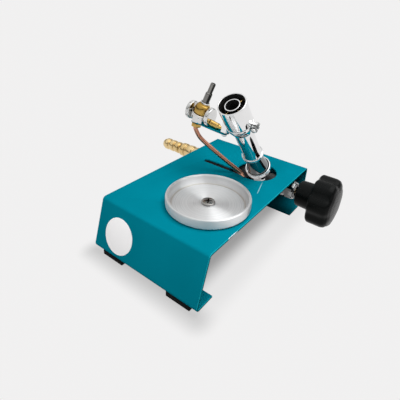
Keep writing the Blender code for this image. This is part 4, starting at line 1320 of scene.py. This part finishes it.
def sky():
    world = bpy.data.worlds.new("studio")
    bpy.context.scene.world = world
    world.use_nodes = True
    tree = world.node_tree
    point = tree.nodes.new("ShaderNodeTexCoord").outputs["Generated"]
    split = tree.nodes.new("ShaderNodeSeparateXYZ")
    tree.links.new(point, split.inputs["Vector"])
    soft = tree.nodes["Background"]
    soft.inputs["Color"].default_value = (1.0, 0.995, 0.99, 1.0)
    tree.links.new(ramp(tree, split.outputs["Z"], 0.30, 0.90, 0.02, 0.38), soft.inputs["Strength"])
    pale = made(tree, "ShaderNodeBackground", {"Color": (*PALE, 1.0)})
    path = tree.nodes.new("ShaderNodeLightPath").outputs
    shiny = shiny_sky(tree, point, split.outputs["Z"])
    lit = either(tree, path["Is Glossy Ray"], soft.outputs["Background"], shiny)
    seen = either(tree, path["Is Camera Ray"], lit, pale.outputs["Background"])
    tree.links.new(seen, tree.nodes["World Output"].inputs["Surface"])
    return world


print("sky nodes", len(sky().node_tree.nodes))

# %% [markdown]
# ## The lamps
# The photograph has soft light from above. One lamp alone could leave the front leg too dark,
# so two low fills stand in front and behind. The sky serves the reflections, so the lamps are hidden there.

# %% Lamps
AIM = Vector((0.0, 0.0, 0.04))


def lamp(name, spot, size, power):
    data = bpy.data.lights.new(name, "AREA")
    data.size = size
    data.energy = power
    obj = linked(name, data)
    facing = (AIM - Vector(spot)).to_track_quat("-Z", "Y").to_matrix().to_4x4()
    obj.matrix_world = Matrix.Translation(spot) @ facing
    obj.visible_glossy = False
    return obj


lamp("overhead", (0.11, -0.03, 0.42), 0.25, 1.62)
lamp("front_fill", (-0.15, -0.90, 0.35), 0.5, 4.9)
lamp("back_fill", (0.05, 0.90, 0.40), 0.5, 3.2)
print("lights", len(bpy.data.lights))

# %% [markdown]
# ## The camera
# The photograph looks down from the front right, a little rolled. A view set by eye would miss its edges,
# so these values were solved from the plate's corners and the dish's rim.
# The fit put the lens's middle off the picture's middle, so the lens is shifted.

# %% Camera
PICTURE = 400.0
SENSOR = 36.0
FOCAL_PIXELS = 351.147
MIDDLE_PIXEL = (206.5, 156.4)
AZIMUTH = radians(35.4784)
ELEVATION = radians(26.0663)
ROLL = radians(3.0069)
FAR = 293.757
SIDE_STEP = -8.8639
UP_STEP = 19.6979


def camera():
    flat = cos(ELEVATION)
    back = Vector((sin(AZIMUTH) * flat, -cos(AZIMUTH) * flat, sin(ELEVATION)))
    right = (-back).cross(Vector((0.0, 0.0, 1.0))).normalized()
    up = right.cross(-back)
    spot = ROOT.translation + back * FAR + right * SIDE_STEP + up * UP_STEP
    x = right * cos(ROLL) + up * sin(ROLL)
    y = -right * sin(ROLL) + up * cos(ROLL)
    data = bpy.data.cameras.new("camera")
    data.sensor_width = SENSOR
    data.lens = SENSOR * FOCAL_PIXELS / PICTURE
    data.shift_x = (PICTURE / 2 - MIDDLE_PIXEL[0]) / PICTURE
    data.shift_y = (MIDDLE_PIXEL[1] - PICTURE / 2) / PICTURE
    data.clip_start = 0.01
    data.clip_end = 50.0
    data.dof.use_dof = False
    obj = linked("camera", data)
    obj.matrix_world = Matrix.Translation(spot * MM) @ Matrix((x, y, back)).transposed().to_4x4()
    bpy.context.scene.camera = obj
    return obj


print("lens", round(camera().data.lens, 2))
bpy.context.scene.view_settings.view_transform = "Standard"
